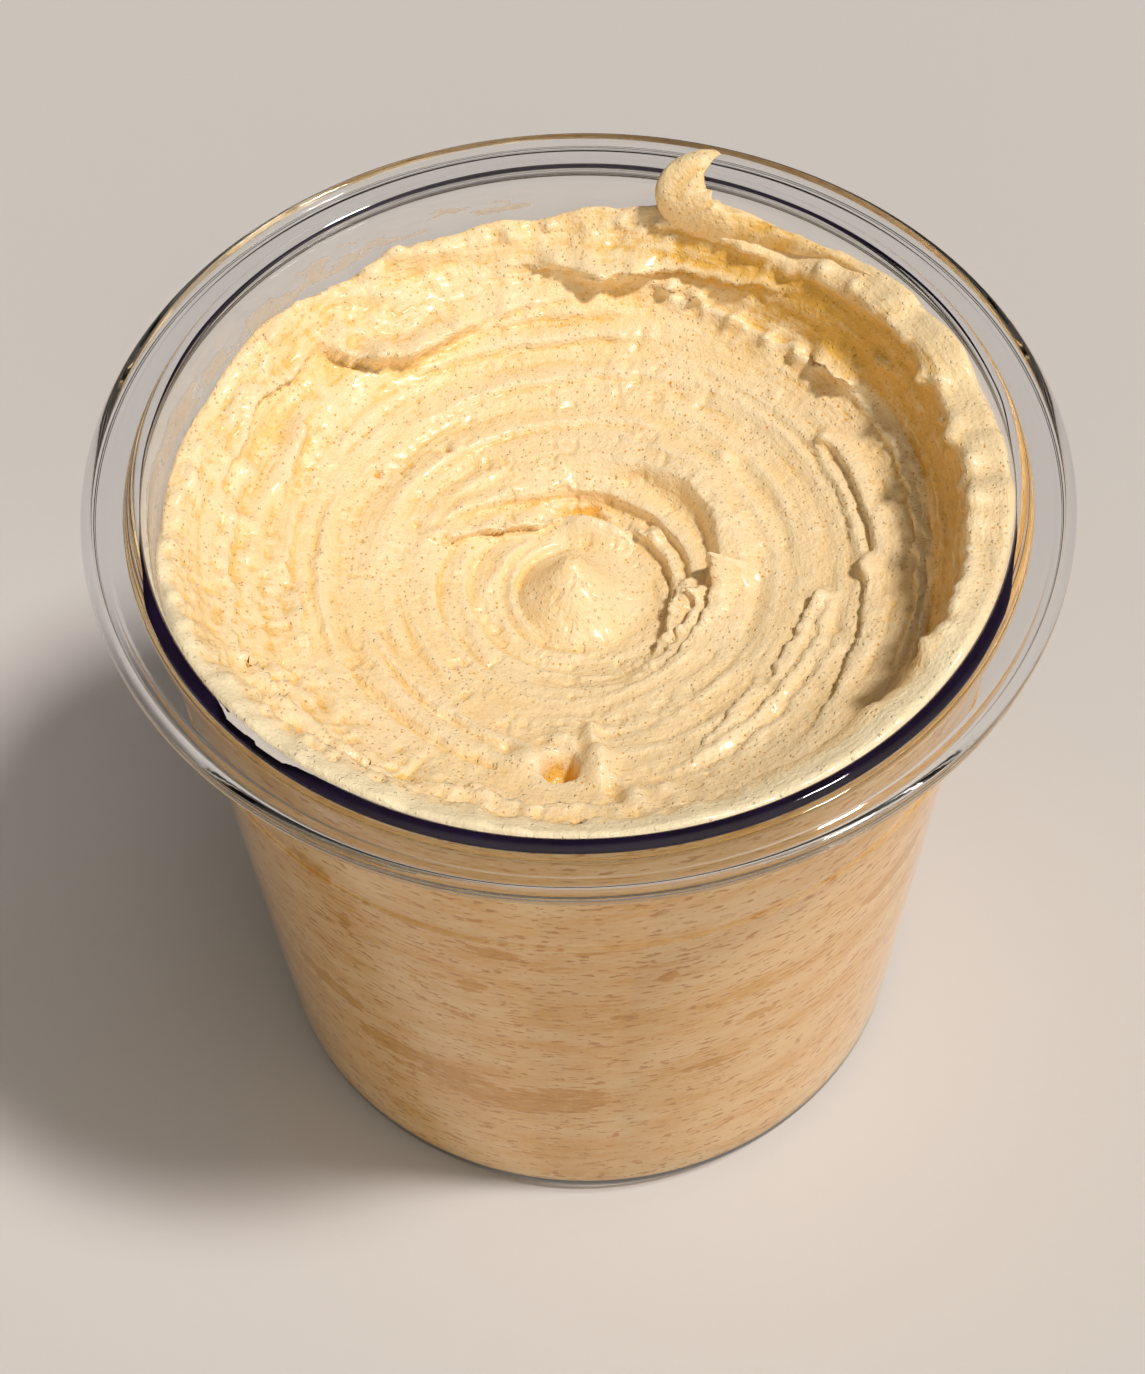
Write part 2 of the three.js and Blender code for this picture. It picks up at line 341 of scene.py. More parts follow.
@dataclass(frozen=True)
class Grain:
    """Seeded smooth noise from -1 to 1 on a square lattice."""

    seed: int
    size: int = 128

    def at(self, u: Array, v: Array, turn: int | None = None) -> Array:
        """Reads the noise.

        Args:
            u: Place along the first axis, in cells.
            v: Place along the second axis, in cells.
            turn: Number of cells after which u closes on itself.

        Returns:
            The noise at each place.
        """
        table = np.random.default_rng(self.seed).uniform(-1, 1, (self.size, self.size))
        iu, iv = np.floor(u).astype(int), np.floor(v).astype(int)
        fu, fv = smooth(u - iu), smooth(v - iv)
        wrap = turn or self.size
        u0, u1 = np.mod(iu, wrap) % self.size, np.mod(iu + 1, wrap) % self.size
        v0, v1 = np.mod(iv, self.size), np.mod(iv + 1, self.size)
        low = table[u0, v0] * (1 - fu) + table[u1, v0] * fu
        high = table[u0, v1] * (1 - fu) + table[u1, v1] * fu
        return low * (1 - fv) + high * fv

    def layered(self, u: Array, v: Array, octaves: int, turn: int | None = None) -> Array:
        """Adds finer and weaker layers of the noise, each twice as fine and half as strong.

        Args:
            u: Place along the first axis, in cells.
            v: Place along the second axis, in cells.
            octaves: Number of layers.
            turn: Number of cells after which u closes on itself.

        Returns:
            The sum of the layers.
        """
        total = np.zeros(np.broadcast(u, v).shape)
        for k in range(octaves):
            fine = 2**k
            total += self.at(u * fine + 17 * k * (turn is None), v * fine + 31 * k, turn and turn * fine) / fine
        return total


# --------------------------------------------------------------- finishes
@dataclass(frozen=True)
class ClearPlastic:
    """Styrene acrylonitrile, injection moulded: water-clear, glossy, and bright where its edges bend the light."""

    name: str = "san_clear_injection_moulded"
    tint: str = "#F7F8FA"
    shade: str = "#E9E7E8"
    refraction: float = 1.5
    roughness: float = 0.03
    ripple_mm: float = 1.6
    ripple_depth_mm: float = 0.004
    ripple_strength: float = 0.6

    def build(self) -> bpy.types.Material:
        """Makes the material: glass that lets lamps through, with faint moulding ripples.

        Returns:
            The material.
        """
        recipe = Recipe(self.name)
        ripple = recipe.noise(self.ripple_mm, detail=0.0)
        clear = recipe.principled({
            "Base Color": linear(self.tint), "Roughness": self.roughness, "IOR": self.refraction,
            "Transmission Weight": 1.0,
            "Normal": recipe.bump(ripple, self.ripple_depth_mm, strength=self.ripple_strength),
        })
        see_through = recipe.add("ShaderNodeBsdfTransparent", inputs={"Color": linear(self.shade)})
        ray = recipe.add("ShaderNodeLightPath")
        mix = recipe.add("ShaderNodeMixShader", inputs={
            0: ray.outputs["Is Shadow Ray"], 1: clear, 2: see_through.outputs["BSDF"],
        })
        return recipe.close(mix.outputs["Shader"])


@dataclass(frozen=True)
class PaintedVioletReflection:
    """Painted reflection: a near-black violet laid inside the clear plastic, where its thick edges look dark by
    refraction and reflection.
    """

    name: str = "san_violet_painted_reflection"
    deep: str = "#0A0412"
    light: str = "#1E1030"
    patch_mm: float = 5.0
    roughness: float = 0.35

    def build(self) -> bpy.types.Material:
        """Makes the material of the painted reflection: dark violet with slow, faint streaks.

        Returns:
            The material.
        """
        recipe = Recipe(self.name)
        streaks = recipe.noise(self.patch_mm, detail=4.0)
        return recipe.close(recipe.principled({
            "Base Color": recipe.blend(streaks, self.deep, self.light), "Roughness": self.roughness,
            "Specular IOR Level": 0.1,
        }))


@dataclass(frozen=True)
class Custard:
    """Churned custard ice cream: dense, soft and slightly wet, with painted highlights on its crests and painted
    golden shade in its creases.
    """

    name: str = "custard_ice_cream_churned"
    # pale colours the paler patches and the painted highlights on crests, and deep the painted shade.
    pale: str = "#FFEBC6"
    body: str = "#FEDFAB"
    deep: str = "#ECBA52"
    # The pits' colour is painted shade.
    painted_pit_shade: str = "#D99A3A"
    film: str = "#FFEFCC"
    patch_mm: float = 9.0
    grain_mm: float = 0.6
    grain_depth_mm: float = 0.2
    line_mm: float = 0.6
    line_length_mm: float = 6.0
    line_depth_mm: float = 0.11
    # Pits and beads of melt share one set of cells, and cell_size is a dot's share of its cell.
    cell_mm: float = 0.76
    cell_size: float = 0.3
    cell_depth_mm: float = 0.13
    roughness: float = 0.42
    refraction: float = 1.4
    coat: float = 0.4
    coat_roughness: float = 0.14
    coat_refraction: float = 1.35

    def build(self) -> bpy.types.Material:
        """Makes the material from the surface's own tone of painted light and shade, its film and run attributes and
        fine patterns.

        Returns:
            The material.
        """
        recipe = Recipe(self.name)
        painted_light_tone, film, run = (recipe.read(name) for name in ("painted_light_tone", "film", "run"))
        # Fine grain, and the paddle's finest lines, which run at one distance from the middle. The turn and the
        # distortion keep the noise's cells from showing as a seam.
        grain = recipe.noise(self.grain_mm, detail=2.0, roughness=0.6)
        long = 1 / (self.line_length_mm * MM)
        turned = recipe.add("ShaderNodeMapping", inputs={
            "Vector": recipe.place, "Location": (2.3 * MM, 3.1 * MM, 0), "Rotation": (0, 0, 0.6),
            "Scale": (long, long, 0),
        })
        ringed = recipe.add("ShaderNodeCombineXYZ", inputs={"Z": recipe.maths("DIVIDE", run, self.line_mm)})
        along = recipe.add("ShaderNodeVectorMath", {"operation": "ADD"}, {
            0: turned.outputs["Vector"], 1: ringed.outputs["Vector"],
        })
        lines = recipe.add("ShaderNodeTexNoise", inputs={
            "Vector": along.outputs["Vector"], "Scale": 1.0, "Detail": 1.0, "Distortion": 0.4,
        }).outputs["Fac"]
        # Both average 0.5, so half of their sum shifts the tone up and down by as much: painted shade in the fine
        # grooves, painted light on the fine ridges.
        shifted = recipe.maths("MULTIPLY_ADD", recipe.maths("ADD", grain, lines), 0.5, painted_light_tone)
        painted_light_tone = recipe.maths("SUBTRACT", shifted, 0.5)
        # Slow patches of slightly paler and deeper custard, with painted shade in creases and painted highlights on
        # crests.
        patch = recipe.noise(self.patch_mm, detail=2.0, roughness=0.6)
        colour = recipe.blend(recipe.ramp(patch, 0.35, 0.7, high=0.6), self.body, self.pale)
        # Painted shade: deep gold where the tone is low, in creases, hollows and on steep walls; painted highlight:
        # pale where it is high.
        colour = recipe.blend(recipe.ramp(painted_light_tone, 0.47, 0.02, high=0.95), colour, self.deep)
        colour = recipe.blend(recipe.ramp(painted_light_tone, 0.6, 1.0, high=0.8), colour, self.pale)
        # Round cells, of which some are pits with painted shade (below zero) and others raised beads (above zero).
        cells = recipe.add("ShaderNodeTexVoronoi", inputs={
            "Vector": recipe.place, "Scale": 1 / (self.cell_mm * MM),
        })
        dot = recipe.ramp(cells.outputs["Distance"], self.cell_size, self.cell_size * 0.3, eased=True)
        kind = recipe.ramp(cells.outputs["Color"], 0.42, 0.58, 1.0, -1.0)
        dots = recipe.maths("MULTIPLY", dot, kind)
        pit = recipe.maths("MULTIPLY", dots, -1.3, clamp=True)
        bead = recipe.maths("MAXIMUM", dots, 0.0)
        # Painted shade: the pits have no relief, and their colour stands in for the shade inside them, stronger in
        # some patches.
        painted_pit_shade_share = recipe.maths("MULTIPLY", pit, recipe.ramp(patch, 0.4, 0.6, 0.25, 0.95))
        colour = recipe.blend(painted_pit_shade_share, colour, self.painted_pit_shade)
        normal = recipe.bump(grain, self.grain_depth_mm)
        normal = recipe.bump(lines, self.line_depth_mm, normal)
        normal = recipe.bump(bead, self.cell_depth_mm, normal)
        return recipe.close(recipe.principled({
            "Base Color": recipe.blend(film, colour, self.film), "Roughness": self.roughness, "IOR": self.refraction,
            "Coat Weight": self.coat, "Coat Roughness": self.coat_roughness, "Coat IOR": self.coat_refraction,
            "Normal": normal,
        }))


@dataclass(frozen=True)
class PressedCustard:
    """The same custard pressed flat against cold plastic: tan, with amber patches, short dashes and pale streaks."""

    name: str = "custard_ice_cream_pressed"
    tan: str = "#EDBA61"
    pale: str = "#FCDBA3"
    amber: str = "#E0A634"
    dash: str = "#CE8B26"
    streak_mm: float = 5.0
    dash_mm: float = 0.62
    roughness: float = 0.5
    refraction: float = 1.4

    def build(self) -> bpy.types.Material:
        """Makes the material from streaks that the paddle drew along the wall.

        Returns:
            The material.
        """
        recipe = Recipe(self.name)
        # Streaks lie almost level, and are long along the wall.
        turned = recipe.add("ShaderNodeMapping", inputs={
            "Vector": recipe.place, "Rotation": (math.radians(4), math.radians(-5), 0), "Scale": (0.3, 0.3, 1.0),
        }).outputs["Vector"]
        ragged = recipe.noise(self.streak_mm, 4.0, 0.72, turned)
        fine = recipe.noise(self.dash_mm, 2.0, 0.6, turned)
        colour = recipe.blend(recipe.ramp(ragged, 0.36, 0.6), self.tan, self.pale)
        edged = recipe.maths("MULTIPLY_ADD", ragged, 1.5, recipe.read("amber"))
        colour = recipe.blend(recipe.ramp(edged, 1.23, 1.29, high=0.9, eased=True), colour, self.amber)
        colour = recipe.blend(recipe.ramp(fine, 0.56, 0.65, high=0.9, eased=True), colour, self.dash)
        colour = recipe.blend(recipe.ramp(fine, 0.44, 0.34, high=0.7, eased=True), colour, self.pale)
        return recipe.close(recipe.principled({
            "Base Color": colour, "Roughness": self.roughness, "IOR": self.refraction,
        }))


@dataclass(frozen=True)
class StudioFloor:
    """Matt painted board: pale, plain and warm, with no sheen that would compete with the plastic."""

    name: str = "board_matt_painted"
    colour: str = "#CFCDCF"
    roughness: float = 0.6

    def build(self) -> bpy.types.Material:
        """Makes the material."""
        recipe = Recipe(self.name)
        return recipe.close(recipe.principled({"Base Color": linear(self.colour), "Roughness": self.roughness}))


# -------------------------------------------------------------------- tub
@dataclass
class Tub:
    """The clear tub: flat base, tapered wall, ledge, collar, thin flange, lip and the ring round the mouth."""

    segments: int = 288
    lip_radius: float = 60.0
    lip_top: float = 103.5
    lip_width: float = 1.4
    lip_height: float = 2.6
    mouth_top: float = 104.2
    mouth_outer: float = 54.65
    mouth_inner: float = 52.7
    flange_top: float = 102.5
    flange_thickness: float = 1.2
    ledge_z: float = 78.5
    ledge_step: float = 1.0
    ledge_radius: float = 51.6
    base_radius: float = 45.1
    base_corner: float = 4.2
    base_thickness: float = 2.6
    wall: float = 1.3
    # Height from which the wall opens towards the mouth.
    ease: float = 50.0
    # Radii between which the painted violet reflection lies in the ring, round the tub.
    painted_reflection_inside: Table = (
        (0, 52.98), (12, 53.5), (30, 53.6), (60, 53.35), (150, 53.35), (172, 53.2), (184, 52.95), (300, 52.84),
        (345, 52.9),
    )
    painted_reflection_outside: Table = (
        (0, 53.04), (12, 53.56), (30, 53.8), (60, 53.8), (150, 53.7), (172, 53.3), (184, 53.1), (193, 53.45),
        (202, 54.1), (212, 54.52), (320, 54.52), (333, 54.1), (345, 53.4), (354, 53.02),
    )

    def body_radius(self, z: float) -> float:
        """Outside radius of the body below the ledge.

        Args:
            z: Height, in millimetres.

        Returns:
            The radius.
        """
        top = self.ledge_radius - self.ledge_step
        share = (z - self.base_corner) / (self.ledge_z - self.base_corner)
        return self.base_radius + (top - self.base_radius) * share

    def inner_radius(self, z: Array) -> Array:
        """Inside radius of the tub at each height: the body's taper, which opens slowly towards the mouth.

        Args:
            z: Heights, in millimetres.

        Returns:
            The radius at each.
        """
        taper = (self.body_radius(self.ease) - self.body_radius(0.0)) / self.ease
        straight = self.body_radius(0.0) - self.wall + taper * np.asarray(z, float)
        flare = self.mouth_inner - (self.body_radius(0.0) - self.wall + taper * self.mouth_top)
        share = np.maximum(np.asarray(z, float) - self.ease, 0) / (self.mouth_top - self.ease)
        return straight + flare * share**2

    def outline(self) -> Outline:
        """Draws the tub's section, from the base's middle out, over the rim and back inside.

        Returns:
            The outline, which starts and ends on the axis.
        """
        collar_top = float(self.inner_radius(self.flange_top)) + self.wall
        under = self.flange_top - self.flange_thickness
        lip_inner = self.lip_radius - self.lip_width
        lip_round = self.lip_width / 2
        lip_mid = self.lip_radius - lip_round
        ring_round = (self.mouth_outer - self.mouth_inner) / 2
        ring_mid = self.mouth_inner + ring_round
        corner = self.base_corner - self.wall
        corner_z = self.base_thickness + corner
        step = self.ledge_z - self.ledge_step
        ridge = 57.4  # a fine raised line that the mould left on the flange
        bend = 1.2  # of the collar into the flange
        bends = [(1 - math.cos(a), 1 - math.sin(a)) for a in np.linspace(0.2, 1.5, 5)]
        inside = np.linspace(self.mouth_top - ring_round - 0.6, corner_z + 0.5, 24)
        return [
            (0.0, 0.0),
            (self.base_radius - self.base_corner - 2.0, 0.0),
            *arc(self.base_radius - self.base_corner, self.base_corner, self.base_corner, -90, 0, 10),
            *[(self.body_radius(z), float(z)) for z in np.linspace(self.base_corner, step, 9)[1:-1]],
            (self.body_radius(step), step),
            *arc(self.ledge_radius - 0.35, self.ledge_z - 0.6, 0.6, -80, 60, 8),
            (collar_top - 0.1, under - 1.6),
            *[(collar_top + bend * out, under - bend * down) for out, down in bends],
            (lip_inner - 0.9, under),
            *arc(lip_inner - 0.45, under - 0.45, 0.45, 90, 30, 3),
            *arc(lip_mid, self.lip_top - self.lip_height + lip_round, lip_round, -180, 0, 9),
            *arc(lip_mid, self.lip_top - lip_round, lip_round, 0, 180, 10),
            *arc(lip_inner - 0.35, self.flange_top + 0.35, 0.35, -10, -90, 4),
            (ridge + 0.25, self.flange_top),
            *arc(ridge, self.flange_top, 0.16, 60, 120, 2),
            (ridge - 0.25, self.flange_top),
            *arc(self.mouth_outer + 0.5, self.flange_top + 0.5, 0.5, -90, -170, 4),
            *arc(ring_mid, self.mouth_top - ring_round, ring_round, 0, 180, 14),
            *[(float(self.inner_radius(z)), float(z)) for z in inside],
            *arc(float(self.inner_radius(corner_z)) - corner, corner_z, corner, 0, -90, 8),
            (0.0, self.base_thickness),
        ]

    def build(self, plastic: bpy.types.Material) -> bpy.types.Object:
        """Spins the tub's section into one closed shell.

        Args:
            plastic: The clear finish.

        Returns:
            The tub.
        """
        bm = bmesh.new()
        spin_outline(bm, braced(self.outline()), self.segments, closed=False)
        piece = finish_piece(bm, "clear_tub", plastic)
        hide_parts("tub")
        return piece

    def build_base_painted_reflection(self, tint: bpy.types.Material) -> bpy.types.Object:
        """Makes the painted reflection in the base: a thin violet line inside its rounded corner.

        Args:
            tint: The painted reflection's dark finish.

        Returns:
            The line, as a closed ring inside the plastic.
        """
        down, deep, half = math.radians(-31), 0.45, 0.2
        reach = self.base_corner - deep
        radius = self.base_radius - self.base_corner + reach * math.cos(down)
        height = self.base_corner + reach * math.sin(down)
        bm = bmesh.new()
        section = oval(radius, height, half, half, 8)
        spin_outline(bm, section, self.segments, closed=True)
        piece = finish_piece(bm, "tub_base_painted_reflection", tint)
        return piece

    def build_painted_reflection(self, tint: bpy.types.Material) -> bpy.types.Object:
        """Makes the painted reflection in the thick ring: a violet line, wide in front and thin behind.

        Args:
            tint: The painted reflection's dark finish.

        Returns:
            The line, as a closed ring inside the plastic.
        """
        level = self.mouth_top - (self.mouth_outer - self.mouth_inner) / 2
        middle = 53.0
        bm = bmesh.new()
        spin_outline(bm, oval(middle, level, 1.0, 0.1, 12), self.segments, closed=True)
        radii = np.array([vert.co.xy.length / MM for vert in bm.verts])
        angles = np.degrees([math.atan2(vert.co.y, vert.co.x) for vert in bm.verts]) % 360
        near, far = around(angles, self.painted_reflection_inside), around(angles, self.painted_reflection_outside)
        for vert, radius, low, high in zip(bm.verts, radii, near, far):
            share = (radius - (middle - 1)) / 2
            vert.co.xy *= (low + (high - low) * share) / radius
        piece = finish_piece(bm, "tub_rim_painted_reflection", tint)
        return piece


# -------------------------------------------------------------- ice cream
@dataclass(frozen=True)
class Fold:
    """Edge of a layer that the paddle dragged over the one below.

    Each point of the path is an angle, a radius and the layer's height there. The layer stands proud on one side of
    the path, dies away over reach, and its edge leans out over the other side by overhang.
    """

    name: str
    path: tuple[tuple[float, float, float], ...]
    reach: float
    overhang: float = 0.4
    jag: float = 0.15
    lip: float = 0.5
    faces_in: bool = True
    gap: float = 0.25
    tooth_mm: float = 2.2
    rough: float = 0.12

    def relief(self, angle: Array, radius: Array, unroll: Unroll, seed: int) -> tuple[Array, Array]:
        """Works out what the fold does to the surface.

        Args:
            angle: Angle of each point.
            radius: Unrolled radius of each point.
            unroll: Turns a radius in each column to an unrolled one.
            seed: Seed of the noise that makes the edge uneven.

        Returns:
            How far each point rises, and how far it moves away from the axis.
        """
        places, radii, heights = (np.array(column) for column in zip(*self.path))
        turned = places[0] + np.mod(angle - places[0] + 20, 360) - 20
        cells = max(8, round(math.tau * float(radii.mean()) / self.tooth_mm))
        wander = Grain(seed).layered(angle / 360 * cells, radius / 7, 3, turn=cells)
        if self.rough > 0.25:
            # A torn edge comes to sharp points.
            wander = 1.9 * np.abs(wander) - 0.6
        uneven = 1 + self.rough * Grain(seed + 50).layered(angle / 360 * cells, radius / 7, 2, turn=cells)
        middle = unroll(np.interp(turned[:, 0], places, radii))[:, None] + self.jag * wander
        side = 1.0 if self.faces_in else -1.0
        depth = (radius - middle) * side
        height = np.interp(turned, places, heights) * (1 + (uneven - 1) * np.exp(-((depth / 2.0) ** 2)))
        rise = np.where(depth > 0, 1 - smooth(depth / self.reach), smooth(1 + depth / self.lip))
        rise -= self.gap * np.exp(-(((depth + self.lip + 0.2) / 0.45) ** 2))
        lean = smooth((depth + 0.45) / 0.45) * np.exp(-np.maximum(depth, 0) / 1.1)
        return rise * height, -side * self.overhang * lean * np.clip(height, 0, 1)


@dataclass(frozen=True)
class Lump:
    """A lump or a hollow: where it is, how far it reaches along a radius and along the swirl, and its height."""

    name: str
    angle: float
    radius: float
    across: float
    along: float
    height: float
    lean: float = 0.0
    turn: float = 0.0
    flat: float = 1.0

    def relief(self, angle: Array, radius: Array, unroll: Unroll, uneven: Array) -> tuple[Array, Array]:
        """Works out how far each point rises and how far it moves away from the axis.

        Args:
            angle: Angle of each point.
            radius: Unrolled radius of each point.
            unroll: Turns a radius in each column to an unrolled one.
            uneven: Noise that keeps the outline from being an oval.

        Returns:
            The rise and the move.
        """
        aside = (np.mod(angle - self.angle + 180, 360) - 180) * math.pi / 180 * self.radius
        column = round(self.angle / 360 * len(angle)) % len(angle)
        out = radius - unroll(np.full(len(angle), self.radius))[column]
        c, s = math.cos(math.radians(self.turn)), math.sin(math.radians(self.turn))
        reach = ((out * c + aside * s) / self.across) ** 2 + ((aside * c - out * s) / self.along) ** 2
        shape = np.exp(-((reach * (1 + 0.35 * uneven)) ** self.flat))
        return self.height * shape, -self.lean * shape**1.5


